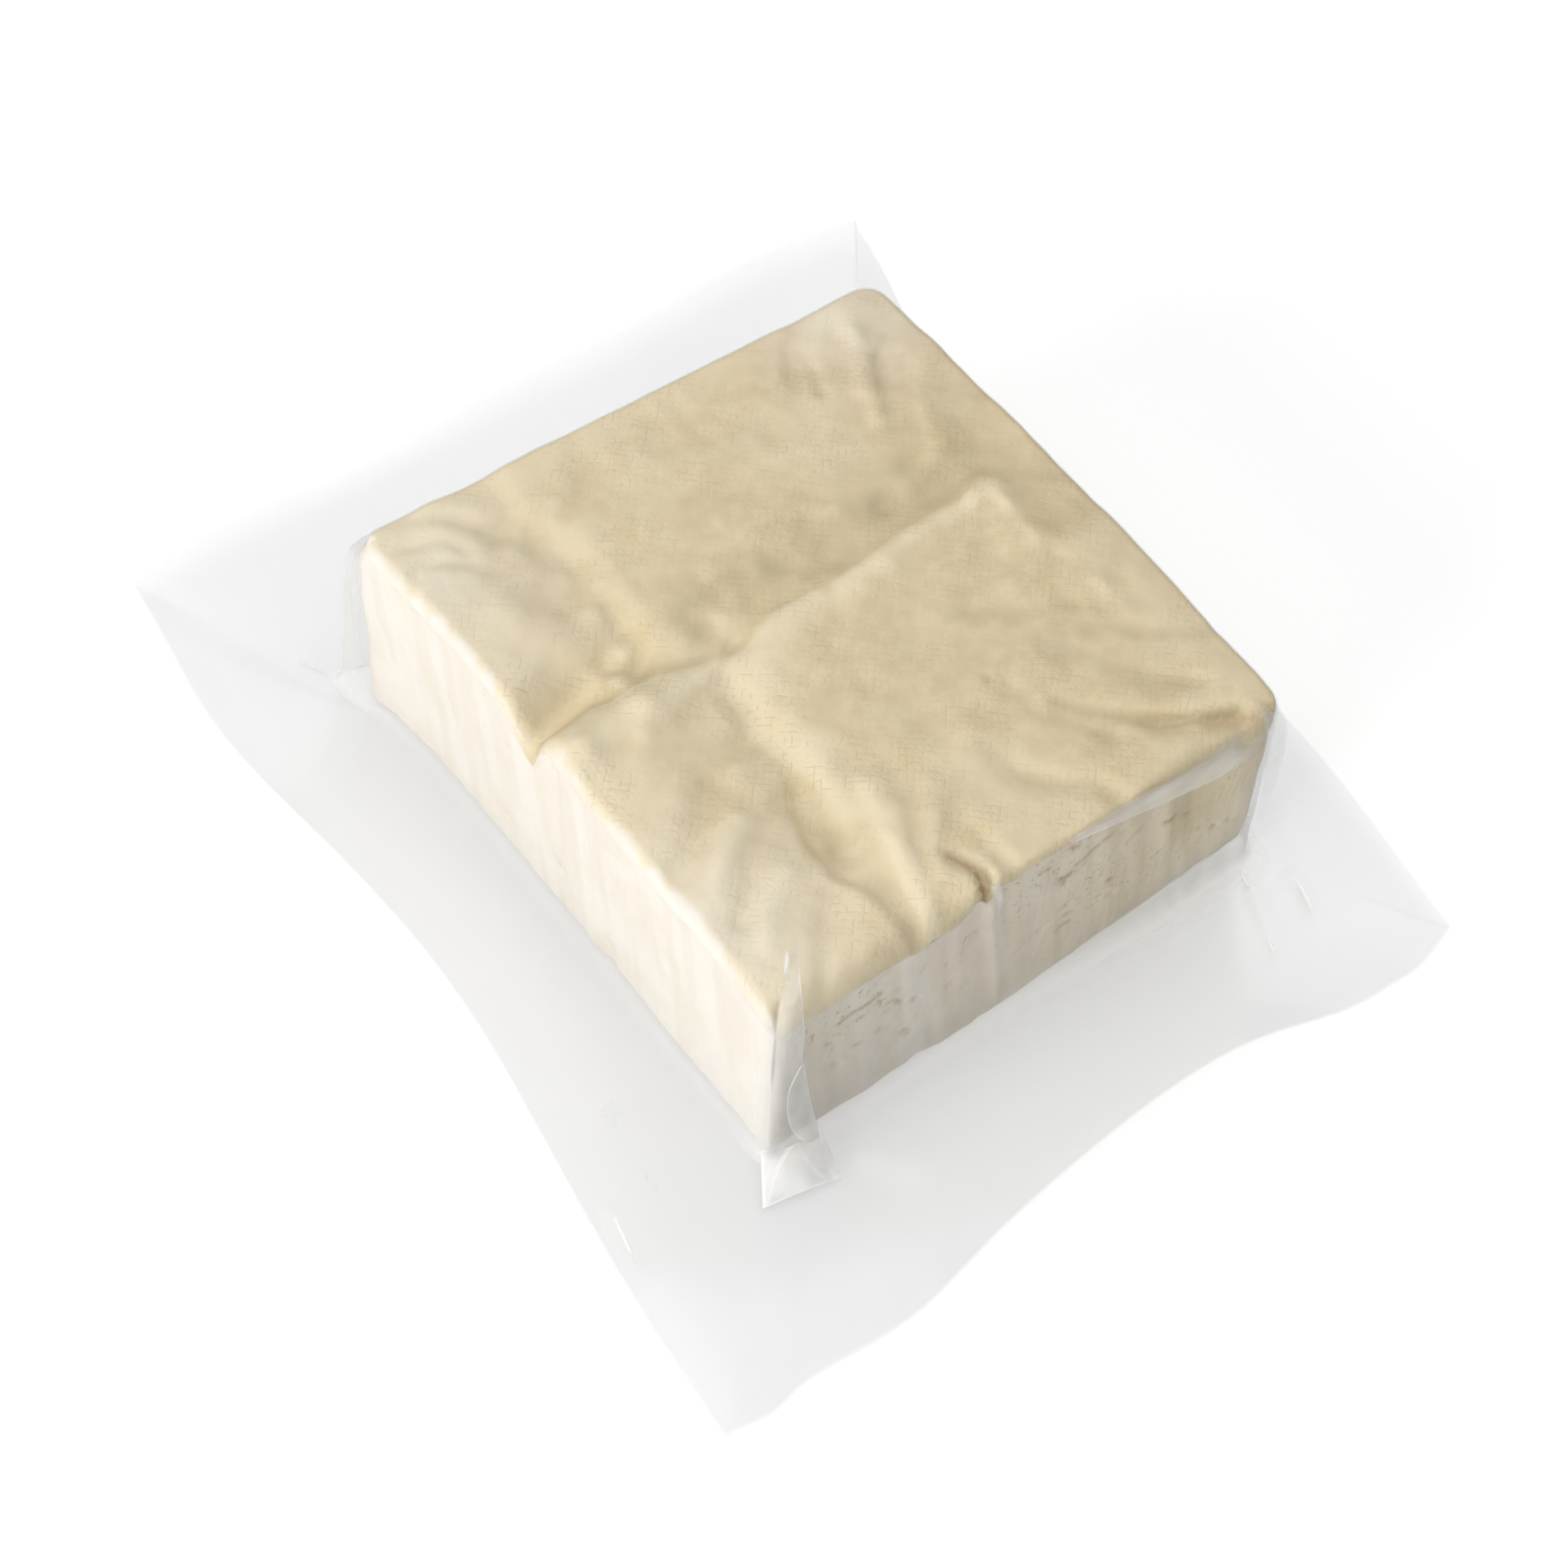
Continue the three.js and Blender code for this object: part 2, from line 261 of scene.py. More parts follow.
def crowded(count):
    u = np.linspace(-1.0, 1.0, count + 1)
    return u * (1 + EDGE_CROWDING) - EDGE_CROWDING * u**3


def rounded_plan(x, y, radius=CORNER_RADIUS):
    dx = np.abs(x) - (WIDTH / 2 - radius)
    dy = np.abs(y) - (DEPTH / 2 - radius)
    both = (dx > 0) & (dy > 0)
    pull = np.where(both, np.maximum(dx, dy) / np.maximum(np.hypot(dx, dy), 1e-9), 1.0)
    px = np.where(both, np.sign(x) * (WIDTH / 2 - radius + dx * pull), x)
    py = np.where(both, np.sign(y) * (DEPTH / 2 - radius + dy * pull), y)
    return px, py


def swelled(x, y):
    bow = SIDE_OUT + SIDE_BOW * (1 - (y / (DEPTH / 2)) ** 2)
    turn = BACK_OUT - BACK_TURN * x / (WIDTH / 2)
    left = LEFT_OUT * smooth_step(y, 25.0, 55.0)
    sideways = bow * np.maximum(x, 0) - left * np.maximum(-x, 0)
    return x + sideways / (WIDTH / 2), y + turn * np.maximum(y, 0) / (DEPTH / 2)


def roll_over(inset, radius):
    over = np.clip(radius - inset, 0.0, radius)
    return radius - np.sqrt(radius**2 - over**2)


def edge_drop(x, y, front, right, back, left):
    sides = ((y + DEPTH / 2, front), (WIDTH / 2 - x, right), (DEPTH / 2 - y, back), (x + WIDTH / 2, left))
    return sum(roll_over(inset, radius) ** 3 for inset, radius in sides) ** (1 / 3)


def edge_loop(rows, columns):
    bottom = [(0, c) for c in range(columns)]
    right = [(r, columns) for r in range(rows)]
    top = [(rows, c) for c in range(columns, 0, -1)]
    left = [(r, 0) for r in range(rows, 0, -1)]
    return np.array(bottom + right + top + left)


class Stations:
    """The points round the block, anticlockwise from its front left corner."""

    def __init__(self, cells_x, cells_y):
        share_x = (crowded(cells_x)[:-1] + 1) / 2
        share_y = (crowded(cells_y)[:-1] + 1) / 2
        self.share = np.concatenate([share_x, share_y, share_x, share_y])
        self.side = np.repeat([0, 1, 2, 3], [cells_x, cells_y, cells_x, cells_y])
        self.length = np.where(self.side % 2 == 0, WIDTH, DEPTH)
        corners = np.array([(-1, -1), (1, -1), (1, 1), (-1, 1)]) * (WIDTH / 2, DEPTH / 2)
        start, end = corners[self.side], corners[(self.side + 1) % 4]
        flat = start + (end - start) * self.share[:, None]
        square_x, square_y = rounded_plan(flat[:, 0], flat[:, 1])
        dx = np.maximum(0, np.abs(square_x) - (WIDTH / 2 - CORNER_RADIUS)) * np.sign(square_x)
        dy = np.maximum(0, np.abs(square_y) - (DEPTH / 2 - CORNER_RADIUS)) * np.sign(square_y)
        reach = np.hypot(dx, dy)
        self.nx, self.ny = dx / reach, dy / reach
        self.x, self.y = swelled(square_x, square_y)


print("stations round a 20 by 22 grid:", len(Stations(20, 22).x))

# %% [markdown]
# ## One builder for both skins
#
# The tofu and the film are both closed skins of the same kind: a grid on top, rings of points
# that go down the side, and a fan that closes the underside. Making the rings as whole arrays is
# much faster than adding points one by one, and every face outside the fan is a neat four-sided
# one. Extra patches, each a grid of its own, may be laid over the skin in the same mesh.


# %% Turn a top grid and rings into a mesh
def make_skin(name, top, rings, marks, patches=()):
    rows, columns = top.shape[0] - 1, top.shape[1] - 1
    loop = edge_loop(rows, columns)
    index = np.arange(top.shape[0] * top.shape[1]).reshape(top.shape[:2])
    a, b, c, d = index[:-1, :-1], index[:-1, 1:], index[1:, 1:], index[1:, :-1]
    quads = [np.stack([a, b, c, d], axis=-1).reshape(-1, 4)]
    points = [top.reshape(-1, 3)]
    before = index[loop[:, 0], loop[:, 1]]
    count = index.size
    for ring in rings:
        after = np.arange(len(ring)) + count
        quads.append(np.stack([before, after, np.roll(after, -1), np.roll(before, -1)], axis=-1))
        points.append(ring)
        before, count = after, count + len(ring)
    points.append(rings[-1].mean(axis=0, keepdims=True))
    fan = [(count, int(q), int(p)) for p, q in zip(before, np.roll(before, -1))]
    marks = {mark: np.append(values, 0.0) for mark, values in marks.items()}
    count += 1
    for grid, patch_marks in patches:
        index = np.arange(grid[..., 0].size).reshape(grid.shape[:2]) + count
        corners = [index[:-1, :-1], index[:-1, 1:], index[1:, 1:], index[1:, :-1]]
        quads.append(np.stack(corners, axis=-1).reshape(-1, 4))
        points.append(grid.reshape(-1, 3))
        marks = {mark: np.append(values, patch_marks[mark]) for mark, values in marks.items()}
        count += index.size
    mesh = bpy.data.meshes.new(name)
    faces = np.concatenate(quads).tolist() + fan
    mesh.from_pydata((np.concatenate(points) * MM).tolist(), [], faces)
    for mark, values in marks.items():
        mesh.attributes.new(mark, "FLOAT", "POINT").data.foreach_set("value", values.astype(np.float32))
    mesh.shade_smooth()
    piece = bpy.data.objects.new(name, mesh)
    bpy.context.scene.collection.objects.link(piece)
    print(name, "has", len(mesh.polygons), "faces")
    return piece


# %% [markdown]
# ## The tofu's sides
#
# The cut sides show what pressed curd is like inside: mostly smooth, with small tears where whey
# ran out, and faint upright ribs where the film was drawn down. The larger tears are real dents,
# placed at random from a fixed seed. The many fine cracks between them are left to the finish,
# and the mark `torn` says how torn each side is.


# %% Dents in the cut sides
class Dents:
    """Random slanting dents for one side of the block."""

    def __init__(self, seed, count, length, low, high, depth):
        draw = np.random.default_rng(seed)
        self.along = draw.uniform(6, length - 6, count)
        self.height = draw.uniform(low, high, count)
        self.wide = draw.uniform(0.5, 1.3, count)
        self.tall = self.wide * draw.uniform(0.25, 0.5, count) + 0.15
        self.tilt = draw.uniform(-1.3, 1.0, count)
        self.depth = depth * draw.uniform(0.4, 1.0, count)

    def amount(self, along, height):
        total = np.zeros(np.shape(along))
        for a, h, wide, tall, tilt, depth in zip(
            self.along, self.height, self.wide, self.tall, self.tilt, self.depth
        ):
            u, v = along - a, height - h
            across = (u * math.cos(tilt) + v * math.sin(tilt)) / wide
            upright = (v * math.cos(tilt) - u * math.sin(tilt)) / tall
            total = np.maximum(total, depth * np.exp(-((across**2 + upright**2) ** 1.5)))
        return total


SIDE_DENTS = [
    Dents(21, 46, WIDTH, 15, 37, 0.6),
    Dents(22, 40, DEPTH, 10, 36, 0.6),
    Dents(23, 40, WIDTH, 10, 36, 0.6),
    Dents(24, 7, DEPTH, 6, 34, 0.3),
]
SIDE_TORN = np.array([1.0, 0.8, 0.8, 0.15])
print("dents:", sum(len(d.along) for d in SIDE_DENTS))

# %% [markdown]
# ## The tofu block
#
# The tofu is the same form as the film drawn over it, a hair smaller, with what only the tofu has:
# softer edges, dents in its sides, and a bottom edge that has crumbled. The cloth has wrapped the
# left half of the front edge further down, and the right end of that edge has slumped a little, so
# the film spans the gap. `front_radius`, `slump` and `bottom_radius` say so.


# %% The tofu's edges
def front_radius(x):
    return 1.6 + 3.2 * smooth_step(-x, 9.0, 17.0)


def slump(x):
    return 2.8 * smooth_step(x, 18.0, 40.0)


def tofu_top(x, y, px, py, relief):
    left = 2.0 + 1.0 * bell(y - 8.0, 8.0)
    drop = edge_drop(x, y, front_radius(x) + slump(x), 1.5, 1.5, left)
    corner = 1.8 * bell(np.hypot(x + 50, y + 55), 9.0)
    return HEIGHT - FILM_CLEARANCE - drop - corner + relief


BACK_LEFT_OUT = 1.5


def side_wobble(stations, height):
    along = stations.share * stations.length + 150.0 * stations.side
    broad = 0.3 * soft_noise(along, height + 40, 14.0, 31) + 0.1 * soft_noise(along, height + 40, 4.0, 32)
    ribs = 0.16 * soft_noise(along + height * 0.12, height / 12, 1.9, 34)
    from_end = np.minimum(stations.share, 1 - stations.share) * stations.length
    ribs = ribs * (1 - bell(from_end, 5.0))
    from_corner = np.where(stations.side == 2, WIDTH - stations.share * WIDTH, stations.share * DEPTH)
    corner = BACK_LEFT_OUT * bell(from_corner, 6.0) * (stations.side >= 2)
    return broad + ribs + corner + wall_folds(stations, height)


WALL_FOLDS = [
    (0, ([(-8.5, 43), (-6.5, 25), (-3, 4)], (1.3, 1.3), (0.7, 0.4))),
    (0, ([(-4.5, 43), (-4.5, 34), (-2, 20)], (1.4, 1.4), (-0.7, -0.1))),
    (0, ([(5, 42), (6, 30), (7, 18)], (2.0, 2.0), (-0.5, -0.1))),
    (0, ([(33, 34), (35, 24), (36, 14)], (3.0, 3.0), (-0.5, -0.3))),
    (3, ([(5, 43), (3.5, 30), (2, 19)], (1.1, 1.1), (-0.9, -0.2))),
    (3, ([(0.5, 42), (-2, 20), (-6, 4)], (2.0, 2.0), (0.3, 0.2))),
    (3, ([(-12, 7), (-12, 2)], (1.6, 1.6), (-0.8, -0.4))),
    (3, ([(2.3, 14), (1.8, 12)], (0.8, 0.8), (-0.7, -0.6))),
]


def wall_folds(stations, height):
    total = np.zeros(len(stations.x))
    for side, fold in WALL_FOLDS:
        here = stations.side == side
        along = stations.x if side == 0 else stations.y
        total[here] += fold_height(along[here], height[here], *fold)
    return total


def bottom_radius(stations):
    along = stations.share * stations.length + 150.0 * stations.side
    base = 1.1 + 1.5 * (stations.side == 3) + 0.5 * soft_noise(along, along * 0, 9.0, 33)
    front = stations.side == 0
    lifted = 7.0 * front * smooth_step(stations.share, 0.4, 0.95)
    lifted = lifted + 7.0 * (stations.side == 1) * (1 - smooth_step(stations.share, 0.02, 0.2))
    chip = front * (2.3 * bell(stations.x + 19.0, 2.4) + 1.2 * bell(stations.x + 24.0, 3.0))
    return base + lifted + chip


# %% [markdown]
# ## Cracks, the brown crescent and painted shade in two folds
#
# Some cracks in the front are long enough to have a place of their own, and where the film pinches
# the front edge, the curd under it has turned brown in a crescent. Along the sharp crease at the front
# right corner and at the foot of the step the same brown is painted shade, where the fold shades the
# skin. Each is a path, its half widths and how dark it is. The cracks are given along the front and
# up it, the stains and the painted shade in plan.

# %% Dark cracks in the front, the crescent on top and painted shade in two folds
FRONT_CRACKS = [
    ([(-36.5, 28.2), (-34.0, 28.9), (-31.2, 28.6), (-28.3, 29.2)], 0.42, 0.9),
    ([(-27.0, 24.5), (-25.6, 24.9), (-24.2, 22.5)], 0.42, 0.7),
    ([(-22.6, 12.7), (-21.8, 11.2)], 0.6, 0.6),
    ([(-38.6, 23.7), (-37.4, 22.6)], 0.5, 0.5),
    ([(-33.1, 18.3), (-31.6, 17.6)], 0.45, 0.45),
    ([(7.2, 29.8), (8.2, 29.2), (9.4, 29.9)], 0.8, 0.9),
    ([(8.3, 29.4), (7.9, 27.8)], 0.6, 0.8),
    ([(18.0, 20.6), (18.9, 19.9)], 0.55, 0.8),
    ([(7.6, 39.0), (9.4, 37.6)], 0.7, 0.7),
    ([(28.8, 27.8), (30.2, 27.1), (31.4, 27.7)], 0.5, 0.8),
    ([(10.0, 31.6), (12.4, 32.2), (14.7, 33.6), (17.0, 34.3)], 0.42, 0.8),
    ([(20.8, 28.4), (23.6, 30.5)], 0.45, 0.5),
    ([(8.5, 14.5), (9.7, 14.9), (10.9, 14.4)], 0.5, 0.7),
    ([(9.3, 18.0), (10.7, 17.2)], 0.5, 0.6),
    ([(33.1, 26.3), (34.6, 25.5)], 0.45, 0.5),
    ([(1.9, 37.1), (3.5, 36.1)], 0.5, 0.5),
]
TOP_STAINS_AND_SHADE = [
    ([(-10.4, -46.6), (-9.1, -49.4), (-8.8, -51.7), (-9.8, -54.5), (-10.5, -57.0)], (0.6, 1.0), (0.7, 1.7)),
    # Painted shade: the crease at the front right corner and the foot of the step are browned where the fold
    # shades them.
    ([(25, -38.5), (29.5, -42.0), (34, -45.4), (39.5, -49.0), (46, -52.8)], (0.7, 1.8), (0.1, 0.5)),
    ([(-52.0, 7.0), (-45.0, 9.5), (-38.0, 12.0)], (5.0, 2.5), (0.3, 0.12)),
]


def top_stains_and_shade(x, y):
    return np.maximum.reduce([fold_height(x, y, *stain) for stain in TOP_STAINS_AND_SHADE])


def front_cracks(stations, height):
    dark = np.zeros(len(stations.x))
    front = stations.side == 0
    for path, wide, strength in FRONT_CRACKS:
        crack = fold_height(stations.x[front], height[front], path, (wide, wide), (strength, strength))
        dark[front] = np.maximum(dark[front], crack)
    return dark


print("cracks with a place of their own:", len(FRONT_CRACKS))

# %% The tofu's rings, and how far the skin reaches down
TOFU_CELLS = (176, 194)
TOFU_WALL_ROWS = 66
TOFU_ROUND_ROWS = 6
TOFU_FLOOR = 0.12
FRONT_SKIN_END = 41.9
LEFT_SKIN_END = 42.2
FAR_SKIN_END = 38.0
CLOTH_WRAP = 5.1


def tofu_rings(stations, edge_height):
    radius = bottom_radius(stations)
    heights = [
        edge_height + (TOFU_FLOOR + radius - edge_height) * i / TOFU_WALL_ROWS
        for i in range(1, TOFU_WALL_ROWS + 1)
    ]
    insets = [radius * 0] * TOFU_WALL_ROWS
    for i in range(1, TOFU_ROUND_ROWS + 1):
        turn = math.pi / 2 * i / TOFU_ROUND_ROWS
        heights.append(TOFU_FLOOR + radius * (1 - math.sin(turn)))
        insets.append(radius * (1 - math.cos(turn)))
    rings = []
    for height, inset in zip(heights, insets):
        along = stations.share * stations.length
        dents = np.zeros(len(along))
        for side, scatter in enumerate(SIDE_DENTS):
            here = stations.side == side
            dents[here] = scatter.amount(along[here], height[here])
        dents += 0.35 * front_cracks(stations, height)
        fade = smooth_step(edge_height - height, 0.0, 3.0)
        push = (side_wobble(stations, height) - 0.3) * fade - inset - FILM_CLEARANCE - dents
        ring_x, ring_y = stations.x + stations.nx * push, stations.y + stations.ny * push
        rings.append(np.stack([ring_x, ring_y, height], axis=-1))
    return rings


def skin_reach(stations):
    wrapped = CLOTH_WRAP * smooth_step(-stations.x, 10, 15)
    front = FRONT_SKIN_END - wrapped - 1.5 * smooth_step(stations.x, 22, 34)
    reach = np.select([stations.side == 0, stations.side == 3], [front, LEFT_SKIN_END], FAR_SKIN_END)
    along = stations.share * stations.length + 150.0 * stations.side
    return reach + 0.6 * soft_noise(along, along * 0, 4.0, 41)


# %% [markdown]
# ## Painted light and shade on the skin
#
# The skin isn't one flat tan in this build: its colour is painted paler along the ridges, as
# highlight, and deeper in the valleys, as shade, so `crests` compares each point's height with its
# neighbours'. A few ridges, the left and back rims and the left side as a whole are painted paler
# still, as highlight, and the valley behind the crest is painted deeper, as shade. The cut sides
# have faint upright streaks of painted shade instead. All of it goes into one mark of painted
# light and shade.

# %% Painted light and shade on the skin, and painted shade streaks down the sides
# Painted sheen: in these round places the skin is turned towards cream, standing in for the film's whitish
# sheen.
PAINTED_SHEEN_PLACES = [(-44.0, 40.0, 15.0, 0.34), (-46.0, -38.0, 14.0, 0.4), (42.0, 50.0, 14.0, 0.45)]
# Painted light and shade: each line paints the skin paler along a ridge, as highlight, or deeper behind the
# crest, as shade.
PAINTED_SHADING_LINES = [
    (MIDDLE_CREST, (1.5, 5.5), (0.7, 0.6)),
    ([(-14.3, 2.7), (-18.6, -4), (-20.9, -9.5), (-19, -20), (-17, -30)], (6.5, 1.6), (0.8, 0.6)),
    ([(-13, -28), (-15.5, -38), (-18, -46), (-21, -58)], (2.6, 1.8), (0.5, 0.9)),
    ([(-51, 5.0), (-45, 6.8), (-38, 7.6), (-30, 6.6), (-22, 4)], (1.0, 5.0), (1.0, 0.7)),
    ([(-36, -23), (-31, -28), (-32, -34), (-38, -38)], (2.5, 2.5), (0.5, 0.5)),
    ([(33, 49), (40, 51), (40, 45), (43, 40), (45, 34)], (2.6, 2.6), (0.7, 0.4)),
    ([(-18, 15), (0, 14), (18, 14.5), (36, 17)], (7.0, 4.5), (-0.6, -0.4)),
]
CREST_REACH = 5
CREST_RISE = 0.5


# Painted highlight on ridges and painted shade in hollows, from each point's height against its neighbours'.
def crests(relief):
    reach = CREST_REACH
    padded = np.pad(relief, reach, mode="edge")
    along = padded[reach:-reach, 2 * reach:] + padded[reach:-reach, :-2 * reach]
    across = padded[2 * reach:, reach:-reach] + padded[:-2 * reach, reach:-reach]
    return np.clip((relief - (along + across) / 4) / CREST_RISE, -1.0, 1.0)


# Painted shade: faint upright streaks on the cut sides, where the film's upright folds would shade them.
def side_shade_streaks(stations, ring):
    along = stations.share * stations.length + 150.0 * stations.side
    return 0.5 + 1.1 * soft_noise(along + ring[:, 2] * 0.15, ring[:, 2] / 9 + 40, 2.4, 35)


# The skin's painted light and shade: paler on ridges, rims and the left side as highlight, deeper in valleys
# and to the right as shade.
def painted_skin_shading(x, y, relief):
    lines = sum(fold_height(x, y, *line) for line in PAINTED_SHADING_LINES)
    lines = lines * (0.85 + 0.5 * soft_noise(x + 200, y + 200, 3.6, 15))
    rims = 0.6 * bell(x + WIDTH / 2, 9.0) + 0.5 * bell(y - DEPTH / 2, 8.0)
    return np.clip(0.36 * crests(relief) + lines + rims - 0.36 * x / WIDTH * 2, -1.0, 1.0)


# %% Build the tofu
def build_tofu():
    stations = Stations(*TOFU_CELLS)
    x, y = np.meshgrid(crowded(TOFU_CELLS[0]) * WIDTH / 2, crowded(TOFU_CELLS[1]) * DEPTH / 2)
    px, py = swelled(*rounded_plan(x, y))
    inside = FILM_CLEARANCE / (WIDTH / 2)
    relief = top_relief(px, py)
    top = np.stack([px * (1 - inside), py * (1 - inside), tofu_top(x, y, px, py, relief)], axis=-1)
    loop = edge_loop(TOFU_CELLS[1], TOFU_CELLS[0])
    rings = tofu_rings(stations, top[loop[:, 0], loop[:, 1], 2])
    left_fade = smooth_step(x + WIDTH / 2 + 0.9 * soft_noise(y + 200, x * 0, 2.6, 42), -0.3, 1.8)
    skin_top = np.maximum(left_fade, bell(y - 9.0, 6.0))
    # Painted sheen: the skin is turned paler in a few round places.
    for across, back, wide, sheen in PAINTED_SHEEN_PLACES:
        skin_top = skin_top - sheen * bell(np.hypot(x - across, y - back), wide)
    reach = skin_reach(stations)
    skin_side = [smooth_step(ring[:, 2], reach - 0.5, reach + 0.5) for ring in rings]
    # Painted shade: the front is turned towards the skin's tan, more towards its right end and round one
    # place near it, so it looks darker there.
    front = stations.side == 0
    darker = 0.14 + 0.6 * smooth_step(stations.x, -25, 30)
    spots = [0.3 * bell(np.hypot(stations.x - 39, ring[:, 2] - 27), 9.0) for ring in rings]
    front_shading = [front * (darker + spot) for spot in spots]
    skin_side = [np.maximum(*pair) for pair in zip(skin_side, front_shading)]
    torn = [SIDE_TORN[stations.side] * smooth_step(ring[:, 2], 8.0, 20.0) for ring in rings]
    # Painted shade streaks down the cut sides.
    shade_streaks = [side_shade_streaks(stations, ring) for ring in rings]
    cracks = [front_cracks(stations, ring[:, 2]) for ring in rings]
    marks = {
        "skin": np.concatenate([skin_top.ravel(), *skin_side]),
        "torn": np.concatenate([np.zeros(x.size), *torn]),
        # The mark of painted light and shade: highlight and shade on the skin, shade streaks on the sides.
        "painted_shading": np.concatenate([painted_skin_shading(px, py, relief).ravel(), *shade_streaks]),
        "dark": np.concatenate([top_stains_and_shade(px, py).ravel(), *cracks]),
    }
    return make_skin("tofu_block", top, rings, marks)


tofu = build_tofu()
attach(tofu, "root")

# %% [markdown]
# ## The film's margin
#
# The pouch is cut square, but the block's height draws the film in, so its cut edges bow and lift
# between the corners. The corners and bends here are the pack's own, and the solid has the same
# ones. A point of the margin is found by going from the foot of the block to the cut edge.

# %% The cut corners and the bends between them
CUT_CORNERS = np.array([(-83.8, -90.3), (68.0, -86.5), (81.2, 93.0), (-73.3, 98.0)])
CORNER_LIFT = np.array([2.0, 1.5, 4.0, 4.0])
CORNER_STAND = np.array([(-0.8, -1.4), (0.4, -0.6), (4.0, 4.0), (-2.6, 4.8)])
CORNER_VEIL = np.array([0.35, 0.0, 0.12, 0.3])
SIDE_BENDS = [
    [
        (0.05, 1.4, 0.0, 0.035),
        (0.23, 2.4, 0.0, 0.1),
        (0.6, -2.6, 6.0, 0.26),
        (0.85, 4.0, 0.5, 0.1),
        (0.94, 1.6, 0.0, 0.045),
    ],
    [(0.2, 2.0, 1.0, 0.16), (0.52, -1.0, 3.0, 0.14), (0.8, -6.5, 0.0, 0.13)],
    [(0.17, 2.6, 2.0, 0.16), (0.49, 1.8, 1.5, 0.16), (0.87, 1.5, 1.5, 0.11)],
    [(0.19, 3.2, 1.0, 0.13), (0.55, -3.9, 5.0, 0.22)],
]


def cut_edge(stations):
    start, end = CUT_CORNERS[stations.side], CUT_CORNERS[(stations.side + 1) % 4]
    run = end - start
    length = np.hypot(run[:, 0], run[:, 1])
    out = np.zeros(len(stations.x))
    ease = smooth_step(stations.share, 0.0, 1.0)
    lift = CORNER_LIFT[stations.side] * (1 - ease) + CORNER_LIFT[(stations.side + 1) % 4] * ease
    for side, bends in enumerate(SIDE_BENDS):
        for at, outwards, upwards, wide in bends:
            amount = bell(stations.share - at, wide) * (stations.side == side)
            out += outwards * amount
            lift += upwards * amount
    x = start[:, 0] + run[:, 0] * stations.share + out * run[:, 1] / length
    y = start[:, 1] + run[:, 1] * stations.share - out * run[:, 0] / length
    return x, y, lift


def corner_stand(stations, height):
    near = np.where(stations.share < 0.5, stations.side, (stations.side + 1) % 4)
    distance = np.minimum(stations.share, 1 - stations.share) * stations.length
    amount = bell(distance, CORNER_RADIUS) * (1 - np.clip(height / HEIGHT, 0, 1)) ** 0.6
    return CORNER_STAND[near] * amount[:, None]


# %% [markdown]
# ## Wrinkles in the margin
#
# Where the film is drawn round a corner it is too long for the flat margin, so it puckers. Each
# pucker is a short narrow ridge, drawn as a path in plan in the same way as the folds in the top.

# %% Puckers in the flat margin
PUCKERS = [
    ([(46.5, -62), (44, -67), (40, -75)], (1.8, 1.8), (0.4, 0.4)),
    ([(54, -63), (51, -72)], (1.4, 1.4), (0.5, 0.3)),
    ([(60, -52), (57, -62)], (1.6, 1.6), (0.5, 0.2)),
    ([(-53.5, 63), (-57.4, 75)], (2.2, 2.2), (0.3, 0.1)),
    ([(-76, -50), (-78, -59)], (1.5, 1.5), (0.6, 0.4)),
    ([(-36, -62), (-30, -72), (-30, -82)], (4.0, 4.0), (1.0, 0.4)),
    ([(58, 60), (66, 74)], (1.6, 1.6), (0.9, 0.4)),
    ([(62, 52), (72, 60)], (1.5, 1.5), (0.6, 0.3)),
]


def margin_relief(x, y):
    rise = 0.25 * soft_noise(x + 200, y + 200, 17.0, 51) + 0.05 * soft_noise(x + 200, y + 200, 6.0, 52)
    for pucker in PUCKERS:
        rise = rise + fold_height(x, y, *pucker)
    return rise


print("puckers in the margin:", len(PUCKERS))

# %% [markdown]
# ## The film
#
# The film is one closed skin of two sheets. The upper one lies over the top, goes down the
# sides, turns outwards in a small hollow curve at the foot and runs out to the cut edge. The
# lower one comes back under it, a hair lower, and passes under the block. The rows of points are
# closer together near the foot, where the small puckers are. Where the film stands off the block
# it looks cloudy: the haze low on the right of the front is a milky white that is painted light,
# standing in for the floor's glow seen through the film and softening the shade at the foot, and
# `corner_veil` is the cloud down three of the upright corners.

# %% Sizes of the film
FILM_CELLS = (136, 150)
FILM_WALL_ROWS = 26
FILM_FOOT_ROWS = 6
FILM_MARGIN_ROWS = 56
LOWER_ROWS = 8
ROW_CROWDING = 1.35
FOOT_RADIUS = 1.6
WIDE_FOOT = 0.9
LOWER_SHEET = 0.06
FLAT_REACH = 1.7
VEIL = 0.2


# %% The film's top and its rings
def film_top(x, y, px, py):
    drop = edge_drop(x, y, front_radius(x), 1.5, 1.5, 2.0)
    corner = 1.2 * bell(np.hypot(x + 50, y + 55), 8.0)
    return HEIGHT - drop - corner + top_relief(px, py)


# Painted light: milky white low on the front right and round its corner, standing in for the floor's glow
# seen through the film.
def front_glow_haze(stations):
    front = (stations.side == 0) * (0.1 + 0.45 * smooth_step(stations.x, 0.0, 40.0))
    return front + 0.55 * (stations.side == 1) * (1 - smooth_step(stations.share, 0.0, 0.2))


def corner_veil(stations):
    near = np.where(stations.share < 0.5, stations.side, (stations.side + 1) % 4)
    distance = np.minimum(stations.share, 1 - stations.share) * stations.length
    return CORNER_VEIL[near] * bell(distance, 4.5)


